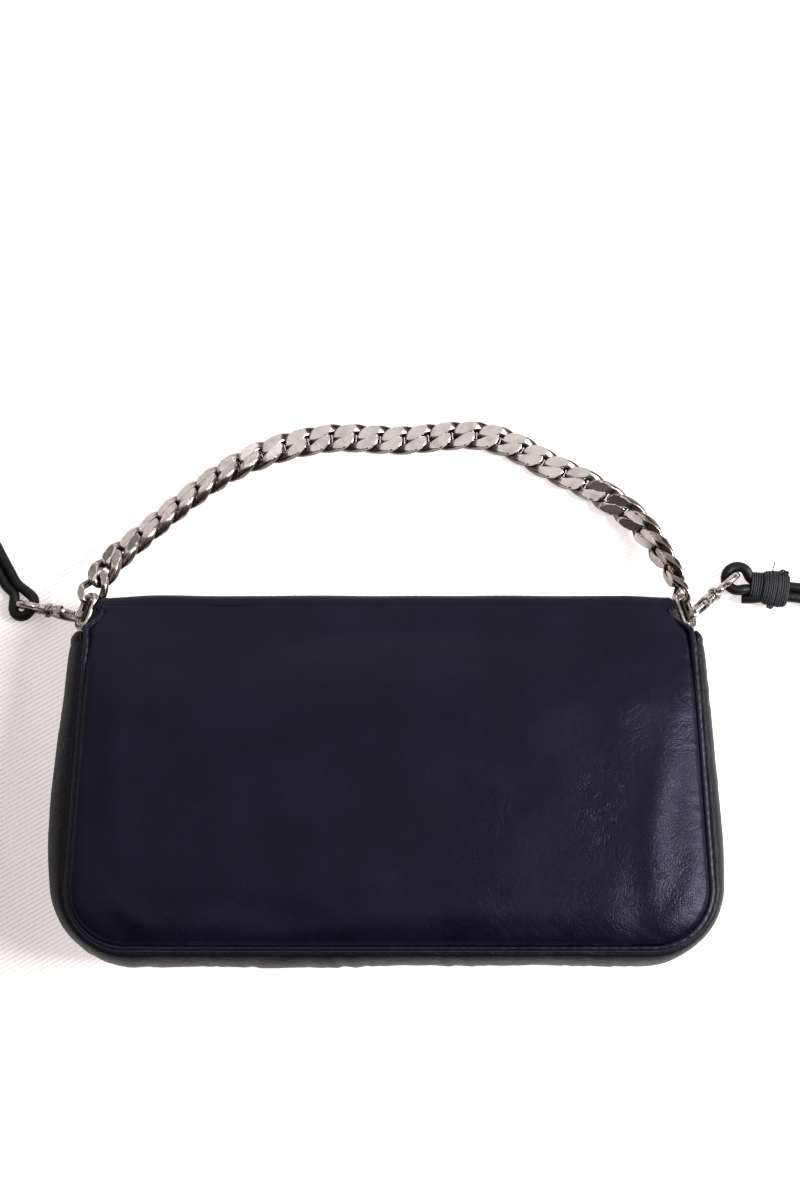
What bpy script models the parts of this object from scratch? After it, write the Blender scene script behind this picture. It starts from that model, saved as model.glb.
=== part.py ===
"""Mini baguette bag with a flap, a curb chain handle and a doubled cord strap.

Metres, +Z up.  The bag lies on its flap: +Y runs from its base to its top fold,
+X to its right-hand side and +Z out of its back panel.  The origin is on the
flap's outer face, in the middle of the bag.
"""
import bpy
import bmesh
import math
import numpy as np
from mathutils import Matrix, Vector

for old in list(bpy.data.objects):
    bpy.data.objects.remove(old)

# Body of the bag
leather = 0.0014                # panels, gusset and fold
seam_half_low = 0.1095          # seam to the middle, at the base
seam_half_top = 0.1072          # seam to the middle, at the shoulder
seam_base_y = -0.0597           # seam along the base
shoulder_y = 0.0496             # upper end of both side seams
corner_radius = 0.0245          # of the seam at the two lower corners
front_z = 0.0034                # outer face of the front panel
back_seam_low = 0.0385          # height of the back seam along the base
back_seam_top = 0.0275          # and at the shoulder
back_crown = 0.0045             # how far the back panel swells above its seam
gusset_bulge = 0.0065           # how far the gusset swells past the seams
gap = 0.0003                    # between pieces that are sewn or seated
front_top_y = 0.0440            # upper edge of the front panel
back_welt_r = 0.0013
front_welt_r = 0.0016

# Fold at the top and flap
fold_y = 0.0647                 # outer face of the fold
bar_x = 0.1062                  # the ring's bar, past the end of the fold
bar_reach = 0.0059              # from the fold's end out to the bar
fold_half = bar_x - bar_reach   # half the fold's length
fold_radius = 0.0048            # where the back turns over into the fold
fold_top_z = 0.0222             # highest point of the fold's round
fold_low_z = 0.0006             # the fold's lower edge
neck_y = 0.0572                 # above this the back is as narrow as the fold
flap_half = fold_half - gap
flap_tip_y = -0.0420
flap_leather = 0.0013
flap_corner = 0.0160
flap_lining_thick = 0.0008
flap_lining_inset = 0.0016

# Inside
lining_thick = 0.0008
lining_inset = 0.0032           # from the seam to the lining's side walls
lining_low_z = 0.0059
lining_base_gap = 0.0026        # from the seam line to the lining's floor
lining_top_y = 0.0425
lining_back_drop = 0.0032       # below the back seam
lining_round = 0.0060
pocket_half = 0.0480
pocket_low_y = -0.0300
pocket_high_y = 0.0260
pocket_lift = 0.0022
pocket_thick = 0.0007
board_thick = 0.0012
board_half = 0.0820
board_top_drop = 0.0035         # below the back seam

# Magnetic snap
snap_y = -0.0270
socket_r = 0.0080
socket_low_z = 0.0036
socket_high_z = 0.0056
socket_bore_r = 0.0034
socket_bore_top = 0.0052
stud_r = 0.0074
stud_plate = 0.0006
stud_nub_r = 0.0030
stud_nub_z = 0.0049

# Ring tabs and rings
ring_wire_r = 0.0011
ring_long = 0.0122              # centre line, along the bar
ring_deep = 0.0086              # centre line, bar to outer side
ring_corner = 0.0019            # at the bar's ends
ring_bow = 0.0042               # the rounder outer corners
bar_y = 0.0583
ring_yaw = math.radians(18.0)   # the bar's upper end leans inwards
ring_tilt = math.radians(55.0)  # the outer side hangs down
tab_wide = 0.0076
tab_wall = 0.0009
tab_reach = 0.0130              # from the bar into the bag
tab_tail = 0.0030               # thickness of the sewn tail
tab_lip = math.radians(25.0)    # the tab comes up round the bar to here, and leaves its top bare
bar_z = fold_top_z - leather - gap - tab_tail / 2

# Curb chain
link_count = 30
link_pitch = 0.0091
link_wire_r = 0.00145
link_half_wide = 0.0055        # outside
link_slack = 0.0008             # play of a link in the next one
link_twist = math.radians(55.0)
link_roundness = 2.4            # exponent of the link's oval
link_ground = 0.0023            # the flats are ground this far from the middle
link_hook_share = 0.57          # along the ring's short side, where the end link sits
link_end_play = 0.0006
chain_rise = 0.0645             # the handle's height above its ends, before fitting
link_sections = 15
link_sides = 7

# Swivel clasps: s runs from the hook's nose to the eye's tip
hook_long = 0.0164
hook_half_high = 0.0056
hook_inner_start = 0.0021
hook_inner_end = 0.0130
hook_inner_half = 0.0036
hook_nose_thick = 0.0026
hook_base_thick = 0.0038
gate_near = 0.0046              # the hook's free end
gate_far = 0.0108               # where the gate leaves the hook's base
gate_thick = 0.0015
gate_half_high = 0.0009
gate_nub_high = 0.0022
pivot_s = 0.0130
pivot_w = 0.0036
pivot_boss_r = 0.0017
pin_r = 0.0006
slot_thick = 0.0021
slot_r = 0.0026
shank_r = 0.0014
shank_head_r = 0.0020
shank_head_thick = 0.0008
eye_boss_start = 0.0177
eye_boss_thick = 0.0016
eye_boss_r = 0.0027
eye_centre_s = 0.0256
eye_r = 0.0046
eye_wire_r = 0.0010
eye_height = 0.0057             # the eye stands on the ground
cross_s = 0.0054                # where the ring's wire passes the hook
cross_slide_right = -0.0014     # along the ring's outer side
cross_slide_left = -0.0020
clasp_heading_right = math.radians(41.0)
clasp_heading_left = math.radians(167.0)

# Doubled cord strap
cord_d = 0.0038
cord_space = 0.00415             # between the two cords' centre lines
cord_z = 0.00192                # centre line of a cord on the ground
loop_hole_z = 0.0057            # centre line of a loop inside the clasp's eye
right_loop_r = 0.0045
right_loop_turn = math.radians(16.0)  # the loop hangs this far off the eye's line
left_loop_r = 0.0038
left_loop_drop = 0.0005         # how far the loop hangs below the eye
strand_points = 78
knot_reach = 0.0326             # from the ring's bar to the knot's nearer end
knot_start = bar_x + knot_reach
knot_long = 0.0102
knot_half_wide = 0.0068
knot_half_high = 0.0042
knot_cord_z = 0.0034            # centre line of the cords where they leave the knot
knot_y = 0.0704
knot_heading = math.radians(-11.0)

# The strap's middle line on the ground, from the left loop round to the knot: how far each
# point lies beyond the ring's bar on its own side, and its y
strap_left_route = [
    (0.0335, 0.0724), (0.0381, 0.0805), (0.0430, 0.0890), (0.0497, 0.0962),
    (0.0585, 0.0982), (0.0655, 0.0925), (0.0678, 0.0830), (0.0648, 0.0600),
    (0.0613, 0.0200), (0.0588, -0.0300), (0.0578, -0.0800), (0.0558, -0.1200),
    (0.0498, -0.1425), (0.0353, -0.1562), (0.0133, -0.1612), (-0.0367, -0.1620),
    (-0.0967, -0.1608),
]
strap_right_route = [
    (-0.0567, -0.1617), (0.0033, -0.1622), (0.0333, -0.1592), (0.0523, -0.1483),
    (0.0623, -0.1290), (0.0648, -0.1000), (0.0653, -0.0500), (0.0668, 0.0000),
    (0.0671, 0.0270), (0.0655, 0.0440), (0.0601, 0.0580),
]


def material(name, colour, rough, metal):
    made = bpy.data.materials.new(name)
    made.use_nodes = True
    shader = made.node_tree.nodes["Principled BSDF"]
    shader.inputs["Base Color"].default_value = (*colour, 1.0)
    shader.inputs["Roughness"].default_value = rough
    shader.inputs["Metallic"].default_value = metal
    return made


def piece(name, look, points, faces, place=None, smooth=True):
    """A mesh from points and faces, in the axes of the matrix that places it."""
    mesh = bpy.data.meshes.new(name)
    mesh.from_pydata([tuple(map(float, p)) for p in points], [], faces)
    shape = bmesh.new()
    shape.from_mesh(mesh)
    bmesh.ops.recalc_face_normals(shape, faces=shape.faces[:])
    shape.to_mesh(mesh)
    shape.free()
    mesh.materials.append(look)
    if smooth:
        mesh.shade_smooth()
        mesh.set_sharp_from_angle(angle=math.radians(40.0))
    made = bpy.data.objects.new(name, mesh)
    bpy.context.collection.objects.link(made)
    if place is not None:
        made.matrix_world = place
    return made


def cutter(made):
    made.hide_render = True
    made.display_type = "WIRE"
    return made


def combine(target, other, how):
    step = target.modifiers.new(how.lower(), "BOOLEAN")
    step.operation = how
    step.solver = "EXACT"
    step.object = cutter(other)


def wall(target, thick):
    """Gives a skin its thickness, inwards."""
    step = target.modifiers.new("wall", "SOLIDIFY")
    step.thickness = thick
    step.offset = -1.0
    step.use_even_offset = False


def grid_faces(rows, cols, wrap=False):
    last = cols if wrap else cols - 1
    return [
        (r * cols + c, r * cols + (c + 1) % cols, (r + 1) * cols + (c + 1) % cols, (r + 1) * cols + c)
        for r in range(rows - 1) for c in range(last)
    ]


def skin(name, look, grid, thick, out):
    """A sheet on a grid of points, facing the direction given, with its wall behind it."""
    rows, cols, _ = grid.shape
    faces = grid_faces(rows, cols)
    edge_a = grid[0, 1] - grid[0, 0]
    edge_b = grid[1, 0] - grid[0, 0]
    if np.dot(np.cross(edge_a, edge_b), out) < 0:
        faces = [face[::-1] for face in faces]
    mesh = bpy.data.meshes.new(name)
    mesh.from_pydata([tuple(map(float, p)) for p in grid.reshape(-1, 3)], [], faces)
    mesh.materials.append(look)
    mesh.shade_smooth()
    made = bpy.data.objects.new(name, mesh)
    bpy.context.collection.objects.link(made)
    wall(made, thick)
    return made


def slab(name, look, outline, low, high, place=None):
    """A flat outline raised from one height to another."""
    count = len(outline)
    points = [(x, y, low) for x, y in outline] + [(x, y, high) for x, y in outline]
    faces = [tuple(range(count)), tuple(range(count, 2 * count))]
    faces += [(i, (i + 1) % count, count + (i + 1) % count, count + i) for i in range(count)]
    return piece(name, look, points, faces, place)


def turned(name, look, profile, place, sides=24):
    """A profile of (radius, height) pairs turned about Z; radius zero closes an end."""
    points = []
    rings = []
    for radius, height in profile:
        if radius == 0:
            rings.append([len(points)])
            points.append((0.0, 0.0, height))
            continue
        rings.append(list(range(len(points), len(points) + sides)))
        turn = [2 * math.pi * i / sides for i in range(sides)]
        points += [(radius * math.cos(a), radius * math.sin(a), height) for a in turn]
    faces = []
    closed = profile[0][0] > 0
    pairs = list(zip(rings, rings[1:] + ([rings[0]] if closed else [])))
    for low, high in pairs:
        for i in range(sides):
            j = (i + 1) % sides
            if len(low) == 1:
                faces.append((low[0], high[i], high[j]))
            elif len(high) == 1:
                faces.append((low[i], low[j], high[0]))
            else:
                faces.append((low[i], low[j], high[j], high[i]))
    return piece(name, look, points, faces, place)


def tube_points(line, radius, sides, closed):
    """Rings of points round a line, carried along it without twist."""
    line = np.asarray(line, float)
    if closed:
        along = np.roll(line, -1, axis=0) - np.roll(line, 1, axis=0)
    else:
        along = np.gradient(line, axis=0)
    along /= np.linalg.norm(along, axis=1)[:, None]
    side = np.cross(along[0], (0.0, 0.0, 1.0))
    if np.linalg.norm(side) < 0.1:
        side = np.cross(along[0], (0.0, 1.0, 0.0))
    rings = []
    turn = 2 * np.pi * np.arange(sides) / sides
    for centre, ahead in zip(line, along):
        side = side - ahead * np.dot(side, ahead)
        side /= np.linalg.norm(side)
        up = np.cross(ahead, side)
        rings.append(centre + radius * (np.outer(np.cos(turn), side) + np.outer(np.sin(turn), up)))
    return np.array(rings)


def tube(name, look, line, radius, sides=8, closed=False, place=None):
    rings = tube_points(line, radius, sides, closed)
    count = len(rings)
    faces = grid_faces(count, sides, wrap=True)
    if closed:
        last = (count - 1) * sides
        faces += [(last + i, last + (i + 1) % sides, (i + 1) % sides, i) for i in range(sides)]
    else:
        faces += [tuple(range(sides)), tuple(range((count - 1) * sides, count * sides))]
    return piece(name, look, rings.reshape(-1, 3), faces, place)


def cord(name, look, line, diameter):
    """A round cord as a curve with filled caps."""
    curve = bpy.data.curves.new(name, "CURVE")
    curve.dimensions = "3D"
    curve.bevel_depth = diameter / 2
    curve.bevel_resolution = 2
    curve.use_fill_caps = True
    spline = curve.splines.new("POLY")
    spline.points.add(len(line) - 1)
    for point, place in zip(spline.points, line):
        point.co = (*map(float, place), 1.0)
    curve.materials.append(look)
    made = bpy.data.objects.new(name, curve)
    bpy.context.collection.objects.link(made)
    return made


def smooth_line(points, per_span):
    """A curve through the points, each span a cubic whose ends follow the neighbours."""
    points = np.asarray(points, float)
    before = np.vstack([2 * points[0] - points[1], points[:-1]])
    after = np.vstack([points[1:], 2 * points[-1] - points[-2]])
    slope = (after - before) / 2
    t = np.linspace(0.0, 1.0, per_span, endpoint=False)[:, None]
    spans = []
    for a, b, sa, sb in zip(points[:-1], points[1:], slope[:-1], slope[1:]):
        spans.append((2 * t**3 - 3 * t**2 + 1) * a + (t**3 - 2 * t**2 + t) * sa
                     + (3 * t**2 - 2 * t**3) * b + (t**3 - t**2) * sb)
    return np.vstack(spans + [points[-1:]])


def spaced(line, count):
    """The same line with points at equal steps."""
    step = np.linalg.norm(np.diff(line, axis=0), axis=1)
    reach = np.concatenate([[0.0], np.cumsum(step)])
    want = np.linspace(0.0, reach[-1], count)
    return np.stack([np.interp(want, reach, line[:, k]) for k in range(line.shape[1])], axis=-1)


# The bag's outline and heights

def share_between(y, low, high):
    return np.clip((y - low) / (high - low), 0.0, 1.0)


def seam_height(y):
    return back_seam_low + (back_seam_top - back_seam_low) * share_between(y, seam_base_y, shoulder_y)


def seam_half(y, inset=0.0):
    """Half the bag's width inside its seam, drawn in by the lower corners."""
    bend_y = seam_base_y + corner_radius
    half = seam_half_low + (seam_half_top - seam_half_low) * share_between(y, bend_y, shoulder_y) - inset
    drop = np.clip(bend_y - y, 0.0, corner_radius - inset)
    radius = corner_radius - inset
    return half - radius + np.sqrt(np.maximum(radius**2 - drop**2, 0.0))


def seam_path(sides=7, corner=8, base=10):
    """The seam from the left shoulder round the base to the right one, with its outward
    directions."""
    bend_y = seam_base_y + corner_radius
    bend_x = float(seam_half(bend_y)) - corner_radius
    left = [(-float(seam_half(y)), y) for y in np.linspace(shoulder_y, bend_y, sides, endpoint=False)]
    turn = np.linspace(math.pi, 1.5 * math.pi, corner, endpoint=False)
    left += [(-bend_x + corner_radius * math.cos(a), bend_y + corner_radius * math.sin(a)) for a in turn]
    flat = [(x, seam_base_y) for x in np.linspace(-bend_x, bend_x, base + 1)]
    path = np.array(left + flat + [(-x, y) for x, y in reversed(left)])
    along = np.gradient(path, axis=0)
    along /= np.linalg.norm(along, axis=1)[:, None]
    return path, np.stack([along[:, 1], -along[:, 0]], axis=-1)


def build_body(hide, edge_hide, lining_cloth, board_fibre):
    path, outward = seam_path()
    heights = seam_height(path[:, 1])

    # Back panel: swells between its seams and narrows into the fold
    inset = back_welt_r + 1.4 * gap
    fold_start = fold_y - fold_radius
    rows_y = np.concatenate([
        seam_base_y + inset + (corner_radius - inset) * (1 - np.cos(np.linspace(0.0, math.pi / 2, 6))),
        np.linspace(seam_base_y + corner_radius, shoulder_y, 7)[1:],
        np.linspace(shoulder_y, neck_y, 5)[1:],
        np.linspace(neck_y, fold_start - gap, 3)[1:],
    ])
    cols = np.linspace(-1.0, 1.0, 13)
    cols = np.sign(cols) * (1 - (1 - np.abs(cols))**1.3)
    ease = np.clip((rows_y - shoulder_y) / (neck_y - shoulder_y), 0.0, 1.0)
    ease = ease * ease * (3 - 2 * ease)
    half = seam_half(rows_y, inset)
    half = half + (fold_half - half) * ease
    rise = np.clip((rows_y - shoulder_y) / (fold_start - shoulder_y), 0.0, 1.0)
    edge_z = seam_height(rows_y) + (fold_top_z - back_seam_top) * rise
    up_share = np.clip((rows_y - seam_base_y) / (fold_start - seam_base_y), 0.0, 1.0)
    crown = back_crown * (4 * up_share * (1 - up_share))**0.6
    x = half[:, None] * cols[None, :]
    z = edge_z[:, None] + crown[:, None] * (1 - np.abs(cols[None, :])**2.5)
    grid = np.stack([x, np.broadcast_to(rows_y[:, None], x.shape), z], axis=-1)
    skin("back_panel", hide, grid, leather, (0, 0, 1))

    # Fold: the strip that carries the back over into the flap
    turn = np.linspace(math.pi / 2, 0.0, 6)
    profile = [(fold_y - fold_radius + fold_radius * math.cos(a),
                fold_top_z - fold_radius + fold_radius * math.sin(a)) for a in turn]
    profile += [(fold_y, z) for z in np.linspace(fold_top_z - fold_radius, fold_low_z, 4)[1:]]
    xs = np.linspace(-fold_half, fold_half, 5)
    grid = np.array([[(x, y, z) for x in xs] for y, z in profile])
    skin("top_fold", hide, grid, leather, (0, 0, 1))

    # Gusset: one strip round the sides and the base, swelling past the seams
    low = front_z + gap / 3
    high = heights - back_welt_r - gap
    share = np.linspace(0.0, 1.0, 6)
    bulge = gusset_bulge * (1 - (2 * share - 1)**2)**0.8 + leather / 2
    plan = path[:, None, :] + outward[:, None, :] * bulge[None, :, None]
    z = low + (high[:, None] - low) * share[None, :]
    grid = np.concatenate([plan, z[:, :, None]], axis=-1)
    skin("gusset", hide, grid, leather, (-1, 0, 0))

    line = np.column_stack([path, heights])
    cord("back_welt", edge_hide, line, 2 * back_welt_r)
    line = np.column_stack([path, np.full(len(path), front_welt_r)])
    cord("front_welt", edge_hide, line, 2 * front_welt_r)

    # Front panel, with the snap's socket let into it
    inset = leather / 2 + gap
    bend = np.linspace(math.pi, 1.5 * math.pi, 7)
    bend_y = seam_base_y + corner_radius
    bend_x = float(seam_half(bend_y)) - corner_radius
    small = corner_radius - inset
    left = [(-float(seam_half(front_top_y, inset)), front_top_y)]
    left += [(-bend_x + small * math.cos(a), bend_y + small * math.sin(a)) for a in bend]
    outline = left + [(-x, y) for x, y in reversed(left)]
    panel = slab("front_panel", hide, outline, front_z, front_z + leather)
    hole = turned("socket_hole", hide, [(0, -leather), (socket_r + gap, -leather),
                                        (socket_r + gap, 2 * leather), (0, 2 * leather)],
                  Matrix.Translation((0, snap_y, front_z)))
    combine(panel, hole, "DIFFERENCE")

    # Lining: a pouch, open towards the top
    rows_y = np.linspace(lining_top_y, seam_base_y + lining_base_gap, 8)
    turn = np.linspace(0.0, 2 * math.pi, 24, endpoint=False)
    loops = []
    for y in rows_y:
        half_x = float(seam_half(y, lining_inset))
        top = float(seam_height(y)) - lining_back_drop
        half_z = (top - lining_low_z) / 2
        cos, sin = np.cos(turn), np.sin(turn)
        flat_x, flat_z = half_x - lining_round, half_z - lining_round
        loop_x = np.sign(cos) * (flat_x * np.minimum(1.0, 1.6 * np.abs(cos)) + lining_round * np.abs(cos)**0.6)
        loop_z = np.sign(sin) * (flat_z * np.minimum(1.0, 1.6 * np.abs(sin)) + lining_round * np.abs(sin)**0.6)
        loops.append(np.stack([loop_x, np.full(len(turn), y), lining_low_z + half_z + loop_z], axis=-1))
    rows, cols = len(loops), len(turn)
    faces = grid_faces(rows, cols, wrap=True) + [tuple(range((rows - 1) * cols, rows * cols))]
    pouch = piece("lining", lining_cloth, np.vstack(loops), faces)
    wall(pouch, lining_thick)

    # Patch pocket on the lining's back wall
    us = np.linspace(-1.0, 1.0, 9)
    vs = np.linspace(0.0, 1.0, 6)
    y = pocket_low_y + (pocket_high_y - pocket_low_y) * vs
    wall_z = seam_height(y) - lining_back_drop - lining_thick - 2 * gap
    lift = pocket_lift * np.sin(np.clip(vs, 0, 0.5) * math.pi)[:, None] * (1 - us[None, :]**6)
    grid = np.stack([np.broadcast_to(pocket_half * us, lift.shape),
                     np.broadcast_to(y[:, None], lift.shape), wall_z[:, None] - lift], axis=-1)
    grid[:, :, 2] -= pocket_thick
    step = skin("inner_pocket", lining_cloth, grid, pocket_thick, (0, 0, -1))
    step.modifiers["wall"].offset = -1.0

    # Stiff board under the lining's floor
    low_y = seam_base_y + leather / 2 + gap
    low_z = front_z + leather + gap
    high_z = float(seam_height(seam_base_y)) - board_top_drop
    board = [(-board_half, low_z), (board_half, low_z), (board_half, high_z), (-board_half, high_z)]
    upright = Matrix.Translation((0, low_y + board_thick, 0)) @ Matrix.Rotation(math.pi / 2, 4, "X")
    slab("base_board", board_fibre, board, 0.0, board_thick, upright)


def build_flap(hide, lining_cloth, nickel):
    """Flap, its lining and the snap's stud, hinged at the fold's lower edge."""
    top_y = fold_y - leather - gap
    hinge = Matrix.Translation((0, top_y + gap / 2, 0))

    def plate(name, look, inset, low, thick):
        corner = flap_corner - inset
        bend = np.linspace(math.pi, 1.5 * math.pi, 7)
        cx = flap_half - inset - corner
        cy = flap_tip_y + inset + corner
        left = [(-flap_half + inset, top_y - inset)]
        left += [(-cx + corner * math.cos(a), cy + corner * math.sin(a)) for a in bend]
        outline = left + [(-x, y) for x, y in reversed(left)]
        outline = [(x, y - top_y - gap / 2) for x, y in outline]
        return slab(name, look, outline, low, low + thick, hinge)

    plate("flap", hide, 0.0, 0.0, flap_leather)
    plate("flap_lining", lining_cloth, flap_lining_inset, flap_leather + gap, flap_lining_thick)
    seat = flap_leather + flap_lining_thick + 2 * gap
    profile = [(0, seat), (stud_r, seat), (stud_r, seat + stud_plate), (stud_nub_r, seat + stud_plate),
               (stud_nub_r, stud_nub_z - gap), (stud_nub_r - gap, stud_nub_z), (0, stud_nub_z)]
    turned("snap_stud", nickel, profile, Matrix.Translation((0, snap_y, 0)))
    profile = [(0, socket_high_z), (socket_r, socket_high_z), (socket_r, socket_low_z),
               (socket_bore_r, socket_low_z), (socket_bore_r, socket_bore_top), (0, socket_bore_top)]
    turned("snap_socket", nickel, profile, Matrix.Translation((0, snap_y, 0)))


def bar_point(side):
    return Vector((side * bar_x, bar_y, bar_z))


def ring_edge(y):
    """How far the ring's outer side lies from its bar, at a place along it."""
    past = max(abs(y) - (ring_long / 2 - ring_bow), 0)
    return ring_deep - ring_bow + math.sqrt(ring_bow**2 - past**2)


def ring_frame(side):
    """Axes of a ring: X from its bar outwards and down, Y along its bar."""
    heading = ring_yaw if side > 0 else math.pi - ring_yaw
    out = Vector((math.cos(heading) * math.cos(ring_tilt), math.sin(heading) * math.cos(ring_tilt),
                  -math.sin(ring_tilt)))
    bar = Vector((-math.sin(heading) * side, math.cos(heading) * side, 0))
    up = out.cross(bar)
    frame = Matrix((out, bar, up)).transposed().to_4x4()
    return Matrix.Translation(bar_point(side)) @ frame


def build_ring(label, side, nickel, hide):
    frame = ring_frame(side)
    half = ring_long / 2
    turn = np.linspace(0.0, math.pi / 2, 5)
    corners = [(1, 1, ring_bow, 0.0), (0, 1, ring_corner, math.pi / 2),
               (0, -1, ring_corner, math.pi), (1, -1, ring_bow, 1.5 * math.pi)]
    line = []
    for outer_side, end, radius, start in corners:
        cx = ring_deep - radius if outer_side else radius
        line += [(cx + radius * math.cos(a + start), end * (half - radius) + radius * math.sin(a + start), 0.0)
                 for a in turn]
    tube(label + "_ring", nickel, line, ring_wire_r, closed=True, place=frame)

    # Tab: a leather strip under and round the bar, its two layers sewn together in the fold
    bore = ring_wire_r + gap
    outer = bore + tab_wall
    tail = tab_tail / 2
    meet = math.pi - math.asin(tail / 2 / bore)
    rounds = [(bore * math.cos(a), bore * math.sin(a)) for a in np.linspace(meet, 2 * math.pi + tab_lip, 15)]
    rounds += [(outer * math.cos(a), outer * math.sin(a)) for a in np.linspace(tab_lip, -2.2, 13)]
    outline = [(-tab_reach, tail), (-outer, tail)] + rounds + [(-outer * 1.6, -tail), (-tab_reach, -tail)]
    level = ring_frame(side)
    inward = Vector((level[0][0], level[1][0], 0)).normalized()
    up = Vector((0, 0, 1))
    axes = Matrix((inward, up, inward.cross(up))).transposed().to_4x4()
    slab(label + "_ring_tab", hide, outline, -tab_wide / 2, tab_wide / 2, Matrix.Translation(bar_point(side)) @ axes)


def link_line(count):
    """Centre line of a curb link: an oval in X and Y, twisted about X from end to end."""
    half_long = (link_pitch + link_slack) / 2 + link_wire_r
    half_wide = link_half_wide - link_wire_r
    t = 2 * np.pi * np.arange(count) / count
    cos, sin = np.cos(t), np.sin(t)
    u = half_long * np.sign(cos) * np.abs(cos)**(2 / link_roundness)
    v = half_wide * np.sign(sin) * np.abs(sin)**(2 / link_roundness)
    turn = -link_twist * u / half_long
    line = np.stack([u, v * np.cos(turn), v * np.sin(turn)], axis=-1)
    return spaced_loop(line, count)


def spaced_loop(line, count):
    closed = np.vstack([line, line[:1]])
    return spaced(closed, count + 1)[:-1]


def link_mesh(nickel):
    """A curb link swept from its wire and ground flat on both faces."""
    dense = link_line(8 * link_sections)
    line = spaced_loop(dense, link_sections)
    rings = tube_points(line, link_wire_r, link_sides, True)
    mesh = bpy.data.meshes.new("curb_link")
    faces = grid_faces(link_sections, link_sides, wrap=True)
    last = (link_sections - 1) * link_sides
    faces += [(last + i, last + (i + 1) % link_sides, (i + 1) % link_sides, i) for i in range(link_sides)]
    mesh.from_pydata([tuple(map(float, p)) for p in rings.reshape(-1, 3)], [], faces)
    shape = bmesh.new()
    shape.from_mesh(mesh)
    for level in (-1, 1):
        everything = shape.verts[:] + shape.edges[:] + shape.faces[:]
        cut = bmesh.ops.bisect_plane(shape, geom=everything, dist=gap / 100,
                                     plane_co=(0, 0, level * link_ground), plane_no=(0, 0, level),
                                     clear_outer=True)
        rim = [e for e in cut["geom_cut"] if isinstance(e, bmesh.types.BMEdge)]
        bmesh.ops.edgeloop_fill(shape, edges=rim)
    bmesh.ops.remove_doubles(shape, verts=shape.verts[:], dist=gap / 20)
    bmesh.ops.recalc_face_normals(shape, faces=shape.faces[:])
    shape.to_mesh(mesh)
    shape.free()
    mesh.materials.append(nickel)
    mesh.shade_smooth()
    mesh.set_sharp_from_angle(angle=math.radians(40.0))
    return mesh


# Roll of the links about the chain's run, in degrees, from the left ring to the right one
link_rolls = [-19, -24, -31, -39, -42, -42, -42, -39, -30, -18, -7, 0, 0, 0, 0,
              0, 0, 0, 0, 0, 0, 4, 16, 31, 45, 56, 64, 73, 81, 88]

# The handle's run: shares of half the span between its ends, and of its rise
chain_run_shares = [
    (-1.0, 0.0), (-0.97, 0.13), (-0.92, 0.25), (-0.833, 0.385), (-0.701, 0.58), (-0.544, 0.772),
    (-0.372, 0.905), (-0.196, 0.97), (-0.06, 0.965), (0.067, 0.955), (0.207, 0.98), (0.331, 0.985),
    (0.453, 0.92), (0.574, 0.8), (0.698, 0.694), (0.788, 0.586), (0.871, 0.466), (0.93, 0.31),
    (0.978, 0.157), (1.0, 0.0),
]


def chain_hook(side):
    """Where the end link sits on the ring's upper short side."""
    return ring_frame(side) @ Vector((ring_deep * link_hook_share, ring_long / 2, 0))


def running_mean(line, window):
    """The line with its corners eased; its ends stay where they are."""
    padded = np.vstack([2 * line[0] - line[window:0:-1], line, 2 * line[-1] - line[-2:-window - 2:-1]])
    weights = np.hanning(2 * window + 1)
    weights /= weights.sum()
    return np.stack([np.convolve(padded[:, k], weights, "valid") for k in range(line.shape[1])], axis=-1)


def chain_places(mesh):
    """Centres of the links, a pitch apart, between the two rings."""
    left, right = chain_hook(-1), chain_hook(1)
    middle = (left + right) / 2
    span = (right - left).length / 2
    corners = np.array([vert.co for vert in mesh.vertices])
    rolls = np.radians(link_rolls)
    flat = np.array([-(corners[:, 1] * math.sin(a) + corners[:, 2] * math.cos(a)).min() for a in rolls])
    ends = (link_pitch + link_slack) / 2 - ring_wire_r - link_end_play
    order = ends + link_pitch * np.arange(link_count)

    def walk(rise):
        plan = np.array([(middle.x + span * sx, middle.y + rise * sy) for sx, sy in chain_run_shares])
        plan = running_mean(spaced(smooth_line(plan, 40), 400), 14)
        step = np.linalg.norm(np.diff(plan, axis=0), axis=1)
        reach = np.concatenate([[0.0], np.cumsum(step)])
        # The run comes down from the rings to the ground within a few links
        fade = np.exp(-(reach / (2.4 * link_pitch))**1.5)
        ground = np.interp(reach, order, flat)
        line = np.column_stack([plan, ground + (left.z - ground) * fade + (right.z - ground) * fade[::-1]])
        step = np.linalg.norm(np.diff(line, axis=0), axis=1)
        reach = np.concatenate([[0.0], np.cumsum(step)])
        return line, reach, reach[-1] - order[-1] - ends

    low, high = 0.5 * chain_rise, 1.5 * chain_rise
    for _ in range(50):
        mid = (low + high) / 2
        if walk(mid)[2] < 0:
            low = mid
        else:
            high = mid
    line, reach, _ = walk((low + high) / 2)
    centres = np.stack([np.interp(order, reach, line[:, k]) for k in range(3)], axis=-1)
    points = np.vstack([[tuple(left)], centres, [tuple(right)]])
    return centres, points, rolls


def build_chain(nickel):
    mesh = link_mesh(nickel)
    centres, points, rolls = chain_places(mesh)
    axle = bpy.data.objects.new("chain_axis", None)
    axle.location = (chain_hook(-1) + chain_hook(1)) / 2
    bpy.context.collection.objects.link(axle)
    bpy.context.view_layer.update()
    for number, centre in enumerate(centres):
        along = Vector(points[number + 2] - points[number]).normalized()
        side = Vector((0, 0, 1)).cross(along).normalized()
        up = along.cross(side)
        frame = Matrix((along, side, up)).transposed().to_4x4()
        made = bpy.data.objects.new(f"link_{number + 1:02d}", mesh)
        bpy.context.collection.objects.link(made)
        made.parent = axle
        made.matrix_parent_inverse = axle.matrix_world.inverted()
        made.matrix_world = Matrix.Translation(centre) @ frame @ Matrix.Rotation(rolls[number], 4, "X")


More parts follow.
